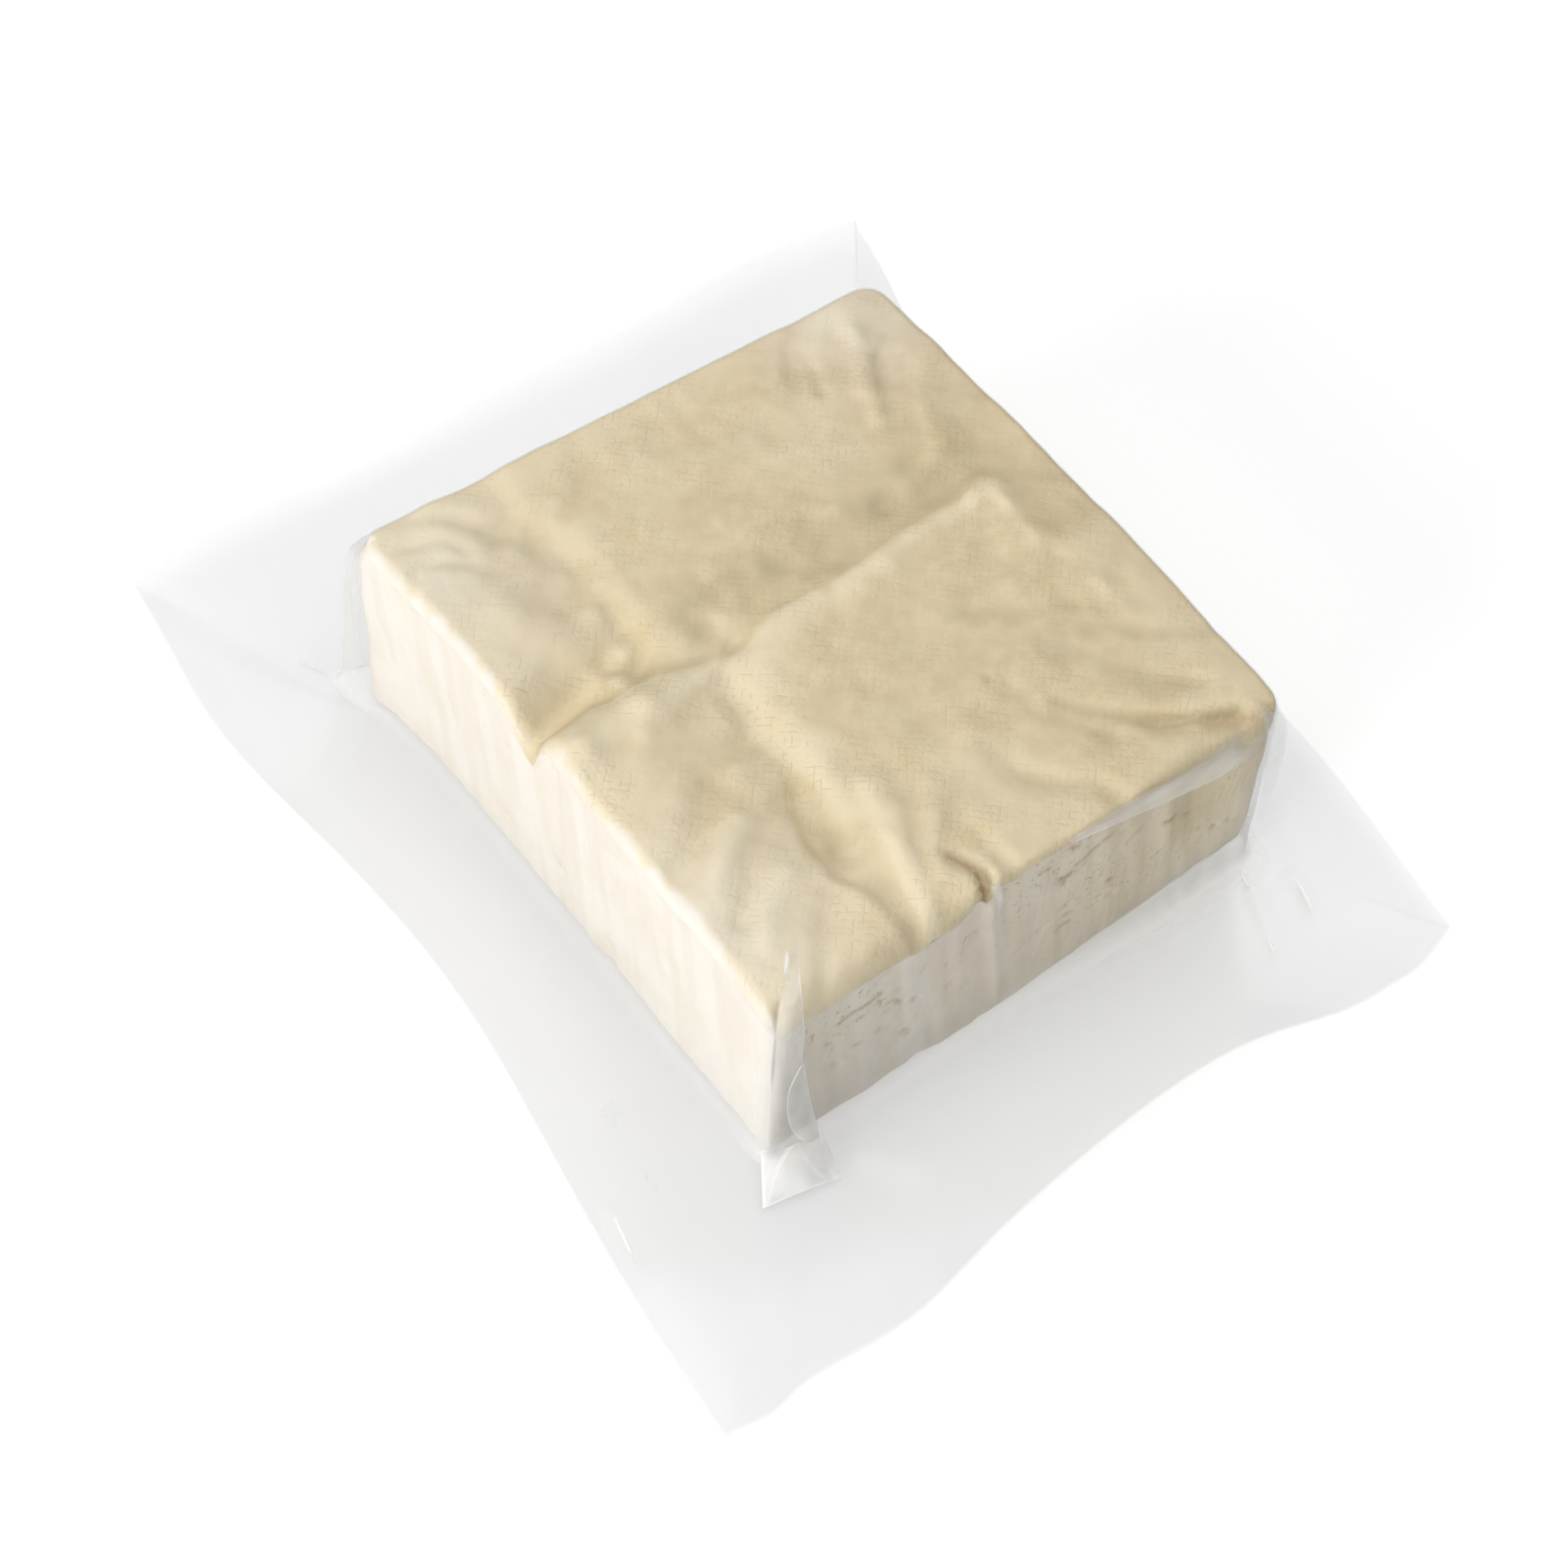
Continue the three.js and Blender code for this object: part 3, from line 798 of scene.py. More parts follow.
def wall_ring(stations, height, edge_height, offset):
    stand = corner_stand(stations, height)
    fade = smooth_step(edge_height - height, 0.0, 3.0)
    push = offset + side_wobble(stations, height) * fade
    x = stations.x + stations.nx * push + stand[:, 0]
    y = stations.y + stations.ny * push + stand[:, 1]
    loose = np.clip(0.03 * np.hypot(stand[:, 0], stand[:, 1]) + 0.1 * offset, 0, 0.3)
    white = VEIL * (stations.side == 0) * smooth_step(stations.x, 41.0, 49.0) * fade
    white = np.maximum(white, front_glow_haze(stations) * (1 - smooth_step(height, 1.0, 14.0)))
    white = np.maximum(white, corner_veil(stations) * fade)
    return np.stack([x, y, height], axis=-1), loose, white


def margin_sheet(foot, cut, share, relief):
    x = foot[:, 0] + (cut[0] - foot[:, 0]) * share
    y = foot[:, 1] + (cut[1] - foot[:, 1]) * share
    rise = np.maximum(margin_relief(x, y), 0) * smooth_step(share, 0.0, 0.16) if relief else 0.0
    sheet = MARGIN_GAP if relief else 0.0
    return np.stack([x, y, LOWER_SHEET + sheet + cut[2] * share**FLAT_REACH + rise], axis=-1)


def film_rings(stations, edge_height):
    widest = smooth_step(stations.x, -8.0, 26.0) * (1 - smooth_step(stations.x, 28, 50))
    radius = FOOT_RADIUS + WIDE_FOOT * (stations.side == 0) * widest
    foot_top = LOWER_SHEET + MARGIN_GAP + radius
    made = []
    for i in range(1, FILM_WALL_ROWS + 1):
        height = edge_height + (foot_top - edge_height) * i / FILM_WALL_ROWS
        made.append(wall_ring(stations, height, edge_height, 0.0))
    for i in range(1, FILM_FOOT_ROWS + 1):
        turn = math.pi / 2 * i / FILM_FOOT_ROWS
        height = foot_top - radius * math.sin(turn)
        made.append(wall_ring(stations, height, edge_height, radius * (1 - math.cos(turn))))
    rings, loose, white = (list(part) for part in zip(*made))
    foot, cut = rings[-1], cut_edge(stations)
    none, full = np.zeros(len(stations.x)), np.ones(len(stations.x))
    shown = [full] * len(rings)
    upper = (np.arange(1, FILM_MARGIN_ROWS + 1) / FILM_MARGIN_ROWS) ** ROW_CROWDING
    lower = np.append(upper[-1:-3:-1], np.arange(LOWER_ROWS - 1, -1, -1) / LOWER_ROWS)
    for share in upper:
        rings.append(margin_sheet(foot, cut, share, True))
        # Painted light: the glow at the foot fades out just past it in the margin.
        white.append(front_glow_haze(stations) * (1 - smooth_step(share, -0.04, 0.14)))
        shown.append(full * (share < 1))
    for share in lower:
        rings.append(margin_sheet(foot, cut, share, False))
        shown.append(full * (share < 1))
    rings.append(np.stack([stations.x, stations.y, none + LOWER_SHEET], axis=-1))
    shown.append(full)
    loose += [full * 0.6] * (len(rings) - len(loose))
    white += [none] * (len(rings) - len(white))
    return rings, loose, white, shown


# %% [markdown]
# ## Ribbons of doubled film
#
# Film that is folded sharply turns milky along the fold, and two layers look whiter than one. The
# white along the ribbons' edges, the strokes on the ear and the thin creases is partly that
# milkiness and partly painted highlight: glints painted in white where the film would mirror the
# lamp. At the front corner the spare film makes a pleat: it comes off the top as a narrow ribbon,
# widens down the corner, and ends in a small ear that lies on the margin. Another ribbon spans the
# slumped end of the front edge, and two small ones lie at its pinch and down its right corner. Each
# ribbon is worked out from its two edges, which are paths in space, with how far it bulges and how
# milky it is inside and along each edge.

# %% The ribbons' edges, and how each bulges, clouds over and fades out
PLEAT_LEFT = [
    (-38.4, -43.6, 44.2), (-40.8, -45.8, 44.2), (-43.9, -49.2, 44.1), (-48.4, -53.0, 43.2),
    (-51.2, -54.8, 36.0), (-50.7, -55.2, 28.0), (-51.2, -55.2, 20.0), (-51.0, -55.2, 11.0),
    (-52.0, -55.2, 1.6),
]
PLEAT_RIGHT = [
    (-38.0, -43.8, 43.9), (-39.6, -46.6, 43.8), (-42.1, -50.4, 43.9), (-44.7, -54.6, 43.4),
    (-45.2, -56.6, 37.0), (-45.4, -56.8, 29.4), (-43.2, -56.8, 17.0), (-41.4, -57.0, 6.5),
    (-40.8, -57.2, 1.6),
]
LENS_LEFT = [
    (-45.9, -57.2, 30.0), (-48.3, -57.3, 24.0), (-48.5, -57.4, 18.0),
    (-47.4, -57.6, 11.0), (-44.6, -57.8, 4.5), (-41.4, -57.8, 1.8),
]
LENS_RIGHT = [
    (-45.5, -57.2, 29.8), (-44.7, -57.3, 24.0), (-43.8, -57.3, 18.0),
    (-42.6, -57.5, 11.0), (-41.6, -57.7, 5.0), (-41.2, -57.8, 1.7),
]
BAND_UPPER = [
    (5.2, -55.0, 43.4), (18.6, -54.4, 43.4), (31.5, -54.6, 42.2),
    (41.0, -53.6, 42.6), (49.0, -51.8, 43.4),
]
BAND_LOWER = [
    (5.8, -55.7, 42.9), (17.2, -55.9, 39.9), (29.0, -56.0, 36.7),
    (40.2, -56.0, 34.2), (50.5, -54.6, 32.0),
]
WEB_LEFT = [
    (46.0, -53.6, 43.5), (46.2, -56.0, 37.0), (46.8, -56.2, 29.0),
    (48.2, -56.5, 20.0), (49.6, -56.7, 11.0),
]
WEB_RIGHT = [
    (50.6, -52.6, 43.0), (53.4, -54.4, 36.0), (53.2, -55.6, 29.0),
    (51.4, -56.6, 20.0), (50.0, -56.8, 11.0),
]
PINCH_LEFT = [(-10.0, -54.6, 43.6), (-9.0, -55.9, 40.0), (-8.5, -56.1, 36.0), (-7.6, -56.1, 28.0)]
PINCH_RIGHT = [(-6.8, -54.6, 43.6), (-6.4, -55.9, 40.0), (-6.0, -56.1, 36.0), (-5.0, -56.1, 28.0)]
RIBBONS = [
    {"left": PLEAT_LEFT, "right": PLEAT_RIGHT, "bulge": (-0.3, -0.7, 0.2), "inside": (0.14, 0.32),
     "rims": (0.0, 0.85), "soft": (0.2, 0.0), "ends": (0.3, 0.0), "loose": 0.5},
    {"left": LENS_LEFT, "right": LENS_RIGHT, "bulge": (0.0, -0.6, 0.1), "inside": (0.0, 0.5),
     "rims": (0.6, 0.3), "soft": (0.0, 0.0), "ends": (0.05, 0.0), "loose": 0.7},
    {"left": BAND_UPPER, "right": BAND_LOWER, "bulge": (0.0, -0.3, 0.1), "inside": (0.26, 0.36),
     "rims": (0.0, 0.8), "soft": (0.3, 0.05), "ends": (0.05, 0.3), "loose": 0.4},
    {"left": WEB_LEFT, "right": WEB_RIGHT, "bulge": (0.2, -0.5, 0.1), "inside": (0.34, 0.14),
     "rims": (0.0, 0.0), "soft": (0.2, 0.25), "ends": (0.1, 0.6), "loose": 0.3},
    {"left": PINCH_LEFT, "right": PINCH_RIGHT, "bulge": (0.0, -0.4, 0.1), "inside": (0.45, 0.15),
     "rims": (0.0, 0.0), "soft": (0.4, 0.4), "ends": (0.1, 0.7), "loose": 0.3},
]
EAR_TOP = [(-50.6, -54.6, 3.4), (-45.7, -56.9, 3.8), (-40.6, -57.4, 3.0)]
EAR_BOTTOM = [(-55.8, -62.2, 1.2), (-48.8, -63.8, 1.9), (-42.4, -65.0, 1.2)]
# Partly milky creases and partly painted highlight: white strokes on the ear stand in for glints.
EAR_GLINT_STROKES = [
    ([(-45.4, -56.6), (-50.6, -58.9), (-55.6, -62.6)], (0.7, 0.5), (0.9, 0.6)),
    ([(-45.2, -56.6), (-45.8, -60.5), (-44.9, -63.8)], (0.5, 0.5), (0.9, 0.5)),
    ([(-40.9, -57.6), (-43.1, -65.4)], (0.3, 1.3), (0.7, 0.8)),
    ([(-50.6, -54.6), (-55.8, -62.6)], (0.8, 0.3), (0.8, 0.8)),
]


# %% Ribbons between two edges, and thin ones along a path
def fade_ends(count, first, last):
    along = np.linspace(0.0, 1.0, count)
    return smooth_step(along, -1e-6, first + 1e-3) * (1 - smooth_step(along, 1 - last - 1e-3, 1 + 1e-6))


def ribbon(left, right, bulge, inside, rims, soft, ends, loose, cells=28, rim=0.28):
    a, b = curve_through(left), curve_through(right)
    share = np.linspace(0.0, 1.0, cells + 1)
    along = np.linspace(0.0, 1.0, len(a))[:, None]
    grid = a[:, None] + (b - a)[:, None] * share[None, :, None]
    wide = np.linalg.norm(b - a, axis=1)[:, None]
    grid = grid + np.array(bulge) * (4 * share * (1 - share) * np.minimum(wide / 4, 1))[..., None]
    cloudy = 1 + 0.25 * soft_noise(along * 14 + 100, share[None, :] * wide + 100, 1.6, 61)
    milky = (inside[0] + (inside[1] - inside[0]) * along) * cloudy
    # The rims are partly milky fold and partly painted highlight along the ribbon's edge.
    left_rim, right_rim = rims[0] * bell(share * wide, rim), rims[1] * bell((1 - share) * wide, rim)
    white = np.maximum(milky, np.maximum(left_rim, right_rim))
    shown = fade_ends(len(a), *ends)[:, None] * fade_ends(cells + 1, *soft)[None, :]
    marks = {"loose": np.full(white.size, loose), "white": (white * shown).ravel(), "shown": shown.ravel()}
    return grid, marks


def thin_ribbon(path, wide, white, rise=0.04, cells=6):
    line = curve_through(path, 6)
    run = np.gradient(line, axis=0)
    across = np.stack([-run[:, 1], run[:, 0], run[:, 0] * 0], axis=-1)
    across = across / np.linalg.norm(across, axis=1, keepdims=True) * wide / 2
    share = np.linspace(-1.0, 1.0, cells + 1)
    taper = np.sin(np.linspace(0.05, 0.95, len(line)) * math.pi) ** 0.5
    grid = line[:, None] + across[:, None] * share[None, :, None] * taper[:, None, None]
    grid = grid + np.array((0, 0, rise)) * (1 - share**2)[None, :, None]
    shown = taper[:, None] * (1 - share**2)[None, :]
    return grid, {"loose": np.full(shown.size, 0.7), "white": white * shown.ravel(), "shown": shown.ravel()}


# %% Thin creases on the top and in the margin, given in plan, whitened partly as painted glints
# Partly milky creases and partly painted glints: each is a path, its width and how white it is.
CREASE_GLINTS = [
    ([(-41.2, -46.2), (-44.0, -49.4)], 1.3, 0.7),
    ([(47.6, -57), (46.3, -61)], 1.0, 1.0),
    ([(42, -70.5), (40.5, -74)], 0.8, 0.8),
    ([(54, -64), (51.6, -71)], 1.0, 1.0),
    ([(-55.0, 64), (-57.6, 69)], 1.0, 0.4),
    ([(-76, -50), (-78, -59)], 0.8, 1.0),
    ([(-65, -33), (-66.6, -34.4), (-65.4, -36), (-67, -37.4)], 0.4, 0.35),
    ([(-64, -32.6), (-64.6, -34.6), (-63.6, -36.4)], 0.35, 0.3),
    ([(-66.4, -46.5), (-67.8, -48), (-66.8, -49.6)], 0.4, 0.35),
]


def lay_on(path, skin_points):
    plan = curve_through(path, 6)
    nearest = [np.argmin(np.hypot(skin_points[:, 0] - x, skin_points[:, 1] - y)) for x, y in plan]
    return np.column_stack([plan, skin_points[nearest, 2] + 0.08])


def ear_patch(cells=36):
    top, bottom = curve_through(EAR_TOP, cells // 2), curve_through(EAR_BOTTOM, cells // 2)
    share = np.linspace(0.0, 1.0, cells + 1)
    grid = top[None] + (bottom - top)[None] * share[:, None, None]
    sideways = np.linspace(0.0, 1.0, len(top))
    puff = 0.9 * np.sin(math.pi * share)[:, None] * np.sin(math.pi * sideways)[None, :]
    grid[..., 2] += puff
    cloudy = 1 + 0.5 * soft_noise(grid[..., 0] + 200, grid[..., 1] + 200, 2.4, 62)
    strokes = [fold_height(grid[..., 0], grid[..., 1], *stroke) for stroke in EAR_GLINT_STROKES]
    lip = np.broadcast_to(0.6 * bell((1 - share)[:, None] * 8.0, 0.6), cloudy.shape)
    white = np.maximum.reduce([0.45 * cloudy, lip, *strokes])
    shown = np.ones(white.size)
    return grid, {"loose": np.full(white.size, 0.5), "white": np.clip(white, 0, 1).ravel(), "shown": shown}


# %% Build the film
def build_film():
    stations = Stations(*FILM_CELLS)
    x, y = np.meshgrid(crowded(FILM_CELLS[0]) * WIDTH / 2, crowded(FILM_CELLS[1]) * DEPTH / 2)
    px, py = swelled(*rounded_plan(x, y))
    top = np.stack([px, py, film_top(x, y, px, py)], axis=-1)
    loop = edge_loop(FILM_CELLS[1], FILM_CELLS[0])
    rings, loose, white, shown = film_rings(stations, top[loop[:, 0], loop[:, 1], 2])
    upper = np.concatenate([top.reshape(-1, 3), *rings[FILM_WALL_ROWS:FILM_WALL_ROWS + FILM_MARGIN_ROWS]])
    patches = [ribbon(**edges) for edges in RIBBONS] + [ear_patch()]
    patches += [thin_ribbon(lay_on(path, upper), wide, white_) for path, wide, white_ in CREASE_GLINTS]
    marks = {
        "loose": np.concatenate([np.zeros(x.size), *loose]),
        "white": np.concatenate([np.zeros(x.size), *white]),
        "shown": np.concatenate([np.ones(x.size), *shown]),
    }
    return make_skin("clear_film", top, rings, marks, patches)


film = build_film()
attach(film, "root")
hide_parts("tofu_pack")

# %% [markdown]
# ## Finishes
#
# A finish is a small tree of nodes. The helper here adds a node and joins its inputs in one call,
# so that each finish reads as a short list of what it is made of.


# %% A short way to write nodes
def new_finish(name):
    finish = bpy.data.materials.new(name)
    finish.use_nodes = True
    finish.node_tree.nodes.clear()
    return finish, finish.node_tree


def node(tree, kind, settings=None, **inputs):
    made = tree.nodes.new(kind)
    for key, value in (settings or {}).items():
        setattr(made, key, value)
    for key, value in inputs.items():
        numbered = key[0] == "i" and key[1:].isdigit()
        socket = made.inputs[int(key[1:]) if numbered else key.replace("_", " ")]
        if isinstance(value, bpy.types.NodeSocket):
            tree.links.new(value, socket)
        else:
            socket.default_value = value
    return made


def ramp(tree, value, low, high, low_value=0.0, high_value=1.0):
    made = node(tree, "ShaderNodeMapRange", {"interpolation_type": "SMOOTHSTEP"}, Value=value)
    made.inputs["From Min"].default_value = low
    made.inputs["From Max"].default_value = high
    made.inputs["To Min"].default_value = low_value
    made.inputs["To Max"].default_value = high_value
    return made.outputs["Result"]


def blend_colour(tree, share, first, second, mode="MIX"):
    made = node(tree, "ShaderNodeMix", {"data_type": "RGBA", "blend_type": mode})
    for socket, value in ((made.inputs[0], share), (made.inputs[6], first), (made.inputs[7], second)):
        if isinstance(value, bpy.types.NodeSocket):
            tree.links.new(value, socket)
        else:
            socket.default_value = value
    return made.outputs[2]


def maths(tree, operation, first, second=0.0):
    return node(tree, "ShaderNodeMath", {"operation": operation}, i0=first, i1=second).outputs[0]


# %% [markdown]
# ## The tofu's finish
#
# The top has a tan skin with the print of the pressing cloth: threads that run across each other
# at a slant, a little over a millimetre apart, clear in some places and rubbed out in others. The
# sides are cream and grainy, with fine brown cracks. The marks made with the mesh carry what noise
# can't know: `skin` says where the tan skin is, turned towards cream in a few places as painted
# sheen and towards tan on the front as painted shade, `torn` how torn each side is, the mark of
# painted light and shade where the skin or the side is painted lighter as highlight or deeper as
# shade, and `dark` where a stain or a crack has its own place, and where a fold is painted in shade.

# %% The tofu's colours
# The pale tan is the skin's own lighter tone and also its painted highlight; the deep tan is painted shade
# only; the deep cream is the sides' own deeper tone and also their painted streak shade; the stain brown is
# a real stain in the crescent and painted shade in two folds.
TAN = (0.645, 0.522, 0.317, 1)
TAN_PALE = (0.785, 0.675, 0.46, 1)
TAN_IN_PAINTED_SHADE = (0.525, 0.425, 0.25, 1)
TAN_YELLOW = (0.68, 0.515, 0.25, 1)
CREAM = (0.82, 0.768, 0.69, 1)
CREAM_DEEP = (0.775, 0.705, 0.595, 1)
CRACK_BROWN = (0.40, 0.33, 0.22, 1)
STAIN_AND_SHADE_BROWN = (0.40, 0.25, 0.11, 1)
THREAD_PITCH = 1.28


# %% Thread marks: two sets of lines that cross at a slant, with short cracks along them
def thread_marks(tree, place, patchy):
    turned = node(tree, "ShaderNodeMapping", Vector=place)
    turned.inputs["Rotation"].default_value = (0, 0, math.radians(43))
    warped = node(tree, "ShaderNodeTexNoise", Vector=place, Scale=170.0, Detail=0.0).outputs["Color"]
    nudge = node(tree, "ShaderNodeVectorMath", {"operation": "SCALE"}, i0=warped, Scale=0.0013).outputs[0]
    added = node(tree, "ShaderNodeVectorMath", {"operation": "ADD"}, i0=turned.outputs[0], i1=nudge)
    moved = added.outputs[0]
    threads, cracks = [], []
    for direction, stretch in (("X", (1.0, 0.6, 1.0)), ("Y", (0.6, 1.0, 1.0))):
        wave = node(tree, "ShaderNodeTexWave", {"bands_direction": direction}, Vector=moved)
        wave.inputs["Scale"].default_value = 1.0 / (THREAD_PITCH * MM) * math.tau / 20.0
        wave.inputs["Distortion"].default_value = 0.0
        threads.append(wave.outputs["Fac"])
        drawn = node(tree, "ShaderNodeMapping", Vector=moved)
        drawn.inputs["Scale"].default_value = stretch
        grain = node(tree, "ShaderNodeTexNoise", Vector=drawn.outputs[0], Scale=900.0, Detail=1.0)
        between = ramp(tree, wave.outputs["Fac"], 0.14, 0.0)
        cracks.append(maths(tree, "MULTIPLY", between, ramp(tree, grain.outputs["Fac"], 0.5, 0.62)))
    weave = maths(tree, "MULTIPLY", maths(tree, "MULTIPLY", threads[0], threads[1]), patchy)
    cracked = maths(tree, "MULTIPLY", maths(tree, "MAXIMUM", cracks[0], cracks[1]), patchy)
    return weave, cracked


# %% Tan skin, cream sides and their cracks
def make_tofu_finish():
    finish, tree = new_finish("pressed_tofu")
    place = node(tree, "ShaderNodeTexCoord").outputs["Object"]
    skin = node(tree, "ShaderNodeAttribute", {"attribute_name": "skin"}).outputs["Fac"]
    torn = node(tree, "ShaderNodeAttribute", {"attribute_name": "torn"}).outputs["Fac"]
    dark = node(tree, "ShaderNodeAttribute", {"attribute_name": "dark"}).outputs["Fac"]
    painted_shading = node(tree, "ShaderNodeAttribute", {"attribute_name": "painted_shading"}).outputs["Fac"]
    cloudy = node(tree, "ShaderNodeTexNoise", Vector=place, Scale=90.0, Detail=2.0).outputs["Fac"]
    broad = node(tree, "ShaderNodeTexNoise", Vector=place, Scale=38.0, Detail=1.0).outputs["Fac"]
    mottle = node(tree, "ShaderNodeTexNoise", Vector=place, Scale=300.0, Detail=2.0).outputs["Fac"]
    fine = node(tree, "ShaderNodeTexNoise", Vector=place, Scale=900.0, Detail=1.0).outputs["Fac"]
    patchy = ramp(tree, cloudy, 0.35, 0.62, 0.1, 1.0)
    weave, cracked = thread_marks(tree, place, patchy)
    weave, cracked = maths(tree, "MULTIPLY", weave, skin), maths(tree, "MULTIPLY", cracked, skin)

    tan = blend_colour(tree, ramp(tree, broad, 0.35, 0.7, 0.0, 0.5), TAN, TAN_PALE)
    tan = blend_colour(tree, ramp(tree, mottle, 0.35, 0.7, 0.0, 0.35), tan, TAN_PALE)
    tan = blend_colour(tree, ramp(tree, cloudy, 0.62, 0.78, 0.0, 0.4), tan, TAN_YELLOW)
    # Painted highlight and painted shade: the skin turns paler where the mark of painted light is above
    # nought and deeper where it is below.
    tan = blend_colour(tree, ramp(tree, painted_shading, 0.0, 1.0), tan, TAN_PALE)
    tan = blend_colour(tree, ramp(tree, painted_shading, 0.0, -1.0), tan, TAN_IN_PAINTED_SHADE)
    cream = blend_colour(tree, ramp(tree, cloudy, 0.45, 0.85), CREAM, CREAM_DEEP)
    # Painted shade: streaks of deeper cream down the cut sides.
    cream = blend_colour(tree, ramp(tree, painted_shading, 0.55, 0.0, 0.0, 0.6), cream, CREAM_DEEP)
    body = blend_colour(tree, skin, cream, tan)
    winding = node(tree, "ShaderNodeTexNoise", Vector=place, Scale=210.0, Detail=1.0).outputs["Fac"]
    off_line = maths(tree, "ABSOLUTE", maths(tree, "SUBTRACT", winding, 0.5))
    vein = maths(tree, "MULTIPLY", ramp(tree, off_line, 0.014, 0.0), ramp(tree, mottle, 0.54, 0.62))
    vein = maths(tree, "MULTIPLY", vein, ramp(tree, cloudy, 0.45, 0.6))
    pits = maths(tree, "MULTIPLY", ramp(tree, fine, 0.62, 0.7), ramp(tree, broad, 0.5, 0.6))
    tears = maths(tree, "MULTIPLY", maths(tree, "MAXIMUM", vein, pits), torn)
    placed = maths(tree, "MULTIPLY", dark, ramp(tree, fine, 0.3, 0.5, 0.35, 1.0))
    body = blend_colour(tree, maths(tree, "MULTIPLY", tears, 0.6), body, CRACK_BROWN)
    body = blend_colour(tree, maths(tree, "MULTIPLY", cracked, 0.34), body, CRACK_BROWN)
    # The crescent's brown is a real stain; along the crease at the front right corner and the step's foot
    # the same brown is painted shade.
    brown = blend_colour(tree, skin, CRACK_BROWN, STAIN_AND_SHADE_BROWN)
    body = blend_colour(tree, maths(tree, "MULTIPLY", placed, 0.85), body, brown)

    lumps = node(tree, "ShaderNodeTexNoise", Vector=place, Scale=230.0, Detail=1.0).outputs["Fac"]
    lumpy = maths(tree, "MULTIPLY", lumps, ramp(tree, skin, 0.0, 1.0, 0.2, 0.25))
    height = maths(tree, "ADD", maths(tree, "MULTIPLY", fine, 0.05), maths(tree, "MULTIPLY", weave, 0.038))
    height = maths(tree, "ADD", height, lumpy)
    bump = node(tree, "ShaderNodeBump", Height=height, Strength=1.0, Distance=MM)
    roughness = ramp(tree, cloudy, 0.3, 0.7, 0.42, 0.62)
    shader = node(tree, "ShaderNodeBsdfPrincipled", Base_Color=body, Roughness=roughness)
    tree.links.new(bump.outputs[0], shader.inputs["Normal"])
    shader.inputs["Specular IOR Level"].default_value = 0.2
    node(tree, "ShaderNodeOutputMaterial", Surface=shader.outputs[0])
    return finish


tofu.data.materials.append(make_tofu_finish())

# %% [markdown]
# ## The film's finish
#
# Film this thin doesn't bend light, so glass would be wrong for it. It lets light straight
# through, mirrors a little of the room, more at a slant, and has a slight haze. That is a
# see-through shader mixed with a glossy one. Where it clings to the tofu it takes on the cloth's
# print and so mirrors less. The mark `loose` made with the mesh says where it stands free, the
# mark `white` where a sharp crease has turned it milky, where white stands in for glints as painted
# highlight, and where a milky glow low on the front right is painted light from the floor, and the
# mark `shown` lets a ribbon's soft edge fade into the film it lies on.


# %% Clear film
SHEET_LETS_THROUGH = 0.925
MIRROR_HEAD_ON = 0.045
MIRROR_GRAZING = 0.6
HAZE_EVERYWHERE = 0.03


def make_film_finish():
    finish, tree = new_finish("clear_film")
    loose = node(tree, "ShaderNodeAttribute", {"attribute_name": "loose"}).outputs["Fac"]
    white = node(tree, "ShaderNodeAttribute", {"attribute_name": "white"}).outputs["Fac"]
    shown = node(tree, "ShaderNodeAttribute", {"attribute_name": "shown"}).outputs["Fac"]
    slant = node(tree, "ShaderNodeLayerWeight", Blend=0.5).outputs["Facing"]
    grazing = maths(tree, "POWER", slant, 5.0)
    mirror = maths(tree, "MULTIPLY_ADD", grazing, MIRROR_GRAZING)
    mirror.node.inputs[2].default_value = MIRROR_HEAD_ON
    mirror = maths(tree, "MULTIPLY", mirror, ramp(tree, loose, 0.0, 1.0, 0.25, 1.0))
    through = SHEET_LETS_THROUGH
    clear = node(tree, "ShaderNodeBsdfTransparent", Color=(through, through * 1.002, through * 1.004, 1))
    polish = ramp(tree, loose, 0.0, 1.0, 0.3, 0.12)
    shine = node(tree, "ShaderNodeBsdfPrincipled", Metallic=1.0, Roughness=polish)
    shine.inputs["Base Color"].default_value = (0.95, 0.95, 0.95, 1)
    glossy = node(tree, "ShaderNodeMixShader", i0=mirror, i1=clear.outputs[0], i2=shine.outputs[0])
    haze = node(tree, "ShaderNodeBsdfPrincipled", Roughness=0.5)
    haze.inputs["Base Color"].default_value = (0.88, 0.87, 0.84, 1)
    clamped = {"operation": "ADD", "use_clamp": True}
    milky = node(tree, "ShaderNodeMath", clamped, i0=white, i1=HAZE_EVERYWHERE)
    whole = node(tree, "ShaderNodeMixShader", i0=milky.outputs[0], i1=glossy.outputs[0], i2=haze.outputs[0])
    nothing = node(tree, "ShaderNodeBsdfTransparent")
    faded = node(tree, "ShaderNodeMixShader", i0=shown, i1=nothing.outputs[0], i2=whole.outputs[0])
    node(tree, "ShaderNodeOutputMaterial", Surface=faded.outputs[0])
    return finish


film.data.materials.append(make_film_finish())

# %% [markdown]
# ## The floor, the light and the camera
#
# The pack lies on a plain white floor that glows faintly, like a light table, so that the clear
# film shows against it and shadows stay soft. One large low lamp on the left stands for a window:
# it makes the left side bright and leaves the front in shade. A weak lamp fills from the far
# right, and the sky is bright overhead and dark at the horizon, which keeps the film's mirror
# quiet where it lies flat.


# %% Floor
FLOOR_REACH = 6.0
FLOOR_DROP = -0.0002
FLOOR_GLOW = 0.36


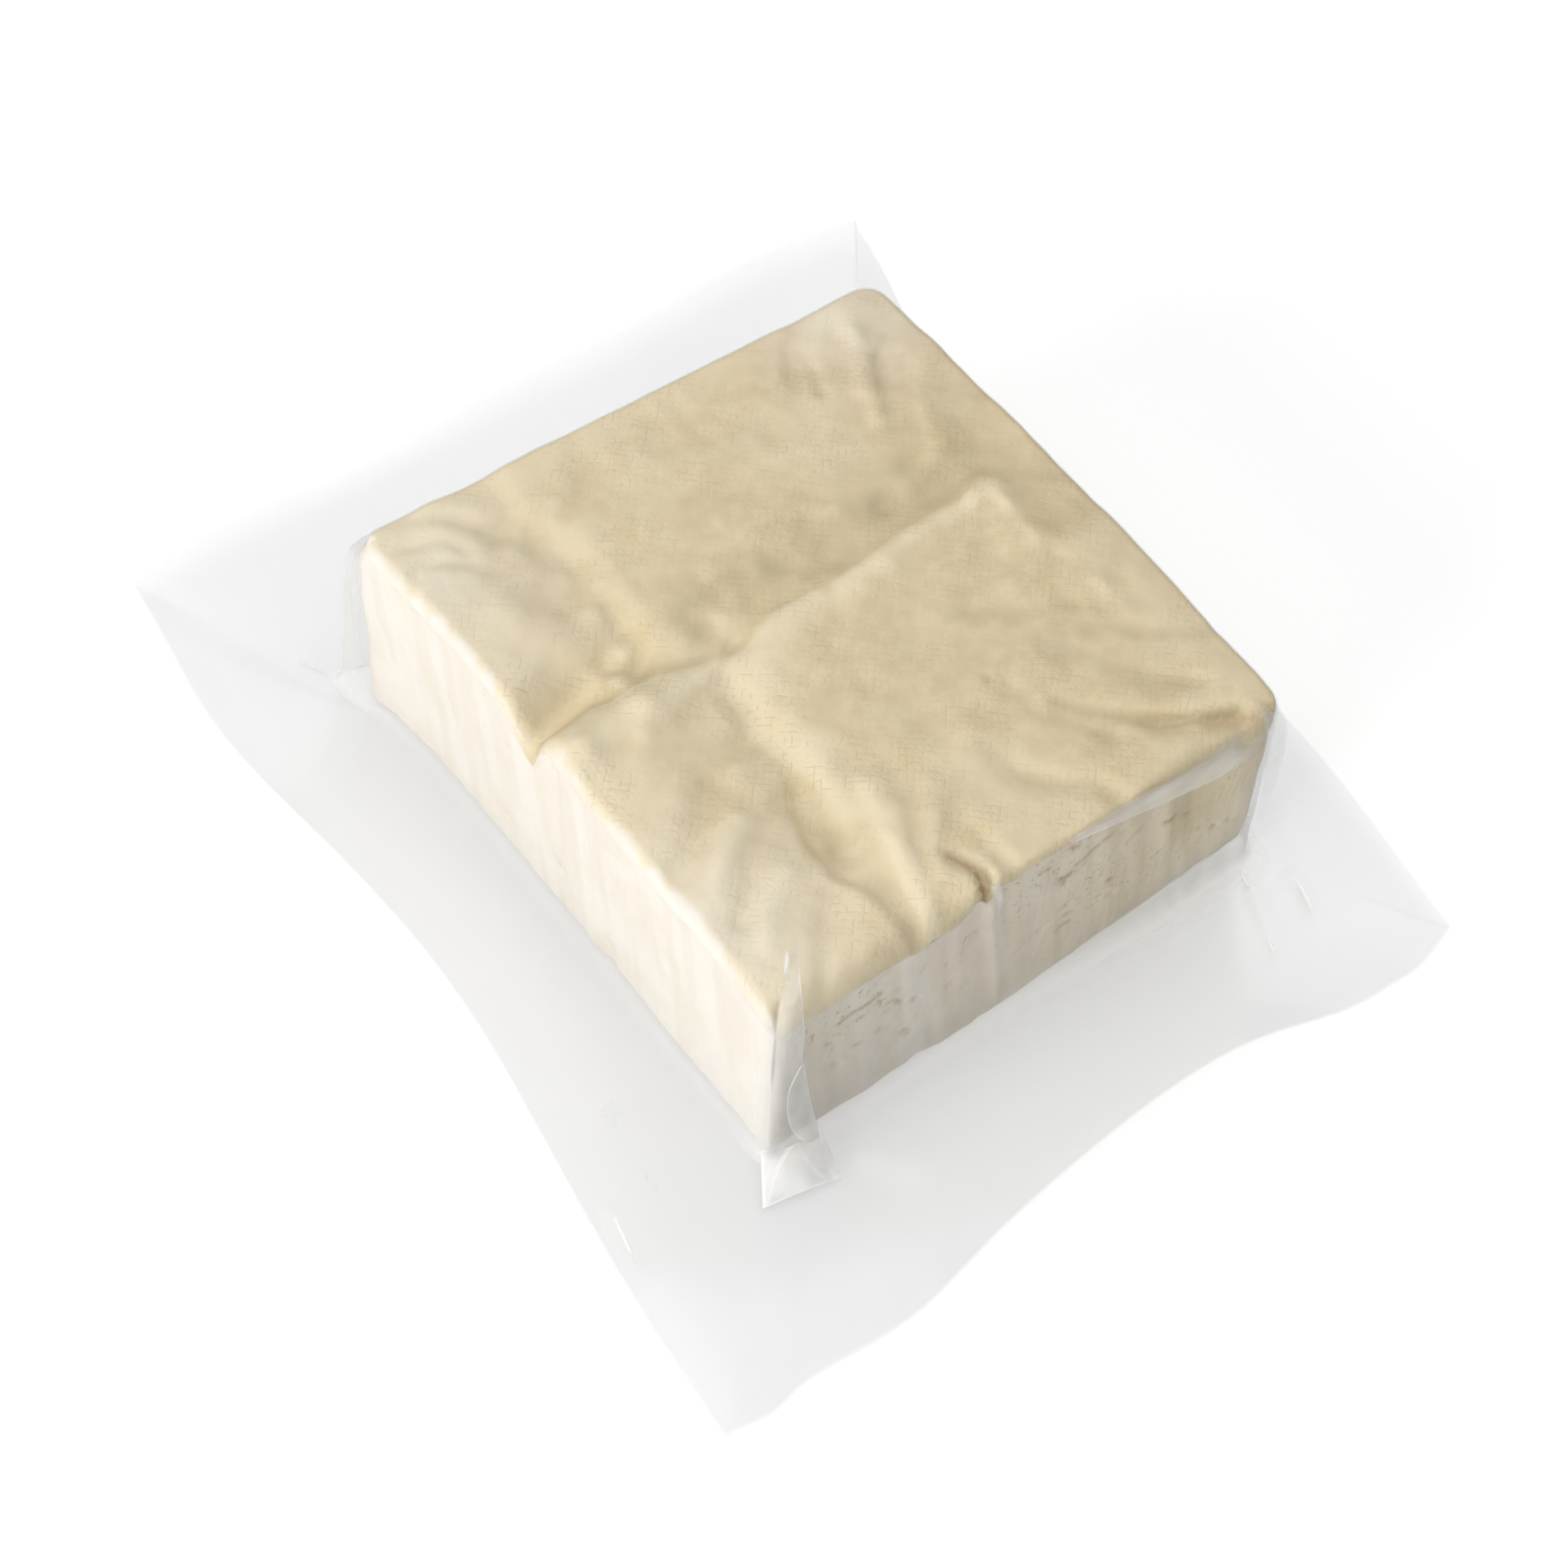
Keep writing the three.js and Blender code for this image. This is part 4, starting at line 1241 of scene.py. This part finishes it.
def make_floor():
    mesh = bpy.data.meshes.new("floor")
    square = ((-1, -1), (1, -1), (1, 1), (-1, 1))
    corners = [(FLOOR_REACH * x, FLOOR_REACH * y, FLOOR_DROP) for x, y in square]
    mesh.from_pydata(corners, [], [(0, 1, 2, 3)])
    floor = bpy.data.objects.new("floor", mesh)
    bpy.context.scene.collection.objects.link(floor)
    finish, tree = new_finish("white_floor")
    shader = node(tree, "ShaderNodeBsdfPrincipled", Roughness=0.9)
    shader.inputs["Base Color"].default_value = (0.64, 0.64, 0.64, 1)
    shader.inputs["Emission Color"].default_value = (1, 1, 1, 1)
    shader.inputs["Emission Strength"].default_value = FLOOR_GLOW
    node(tree, "ShaderNodeOutputMaterial", Surface=shader.outputs[0])
    finish.cycles.emission_sampling = "NONE"
    mesh.materials.append(finish)
    return floor


make_floor()


# %% Sky and lamps
def make_sky(overhead, horizon):
    world = bpy.data.worlds.new("studio")
    world.use_nodes = True
    tree = world.node_tree
    direction = node(tree, "ShaderNodeTexCoord").outputs["Generated"]
    upwards = node(tree, "ShaderNodeSeparateXYZ", Vector=direction).outputs["Z"]
    background = tree.nodes["Background"]
    tree.links.new(ramp(tree, upwards, 0.5, 0.95, horizon, overhead), background.inputs["Strength"])
    background.inputs["Color"].default_value = (1, 1, 1, 1)
    bpy.context.scene.world = world


def make_lamp(name, azimuth, elevation, distance, size, power):
    data = bpy.data.lights.new(name, "AREA")
    data.shape = "DISK"
    data.size = size
    data.energy = power
    lamp = bpy.data.objects.new(name, data)
    a, e = math.radians(azimuth), math.radians(elevation)
    place = Vector((math.cos(a) * math.cos(e), math.sin(a) * math.cos(e), math.sin(e))) * distance
    lamp.location = place
    lamp.rotation_euler = place.to_track_quat("Z", "Y").to_euler()
    bpy.context.scene.collection.objects.link(lamp)
    return lamp


make_sky(overhead=1.75, horizon=0.06)
make_lamp("window_lamp", azimuth=184.0, elevation=16.0, distance=2.0, size=1.4, power=35.0)
make_lamp("fill_lamp", azimuth=30.0, elevation=40.0, distance=2.0, size=1.4, power=5.0)

# %% [markdown]
# ## The camera
#
# The camera stands at the front left corner and looks down on the pack through a long lens, so
# that the edges stay nearly parallel. Its place is worked out from a bearing, a height angle, a
# distance and the point it looks at.

# %% Camera
CAMERA_BEARING = math.radians(-40.21)
CAMERA_HEIGHT = math.radians(55.62)
CAMERA_ROLL = math.radians(4.28)
CAMERA_DISTANCE = 607.3
CAMERA_TARGET = Vector((-10.76, -6.45, 14.29))
FOCAL_PIXELS = 4500.0
FRAME_PIXELS = 1911.0
SENSOR = 36.0


def make_camera():
    data = bpy.data.cameras.new("camera")
    data.sensor_width = SENSOR
    data.lens = SENSOR * FOCAL_PIXELS / FRAME_PIXELS
    data.clip_start = 0.01
    back = Vector((
        math.sin(CAMERA_BEARING) * math.cos(CAMERA_HEIGHT),
        -math.cos(CAMERA_BEARING) * math.cos(CAMERA_HEIGHT),
        math.sin(CAMERA_HEIGHT),
    ))
    level = Vector((math.cos(CAMERA_BEARING), math.sin(CAMERA_BEARING), 0))
    upright = back.cross(level)
    right = level * math.cos(CAMERA_ROLL) + upright * math.sin(CAMERA_ROLL)
    up = upright * math.cos(CAMERA_ROLL) - level * math.sin(CAMERA_ROLL)
    camera = bpy.data.objects.new("camera", data)
    turn = Matrix((right, up, back)).transposed().to_4x4()
    camera.matrix_world = Matrix.Translation((CAMERA_TARGET + back * CAMERA_DISTANCE) * MM) @ turn
    bpy.context.scene.collection.objects.link(camera)
    bpy.context.scene.camera = camera
    return camera


make_camera()
bpy.context.scene.view_settings.view_transform = "Standard"
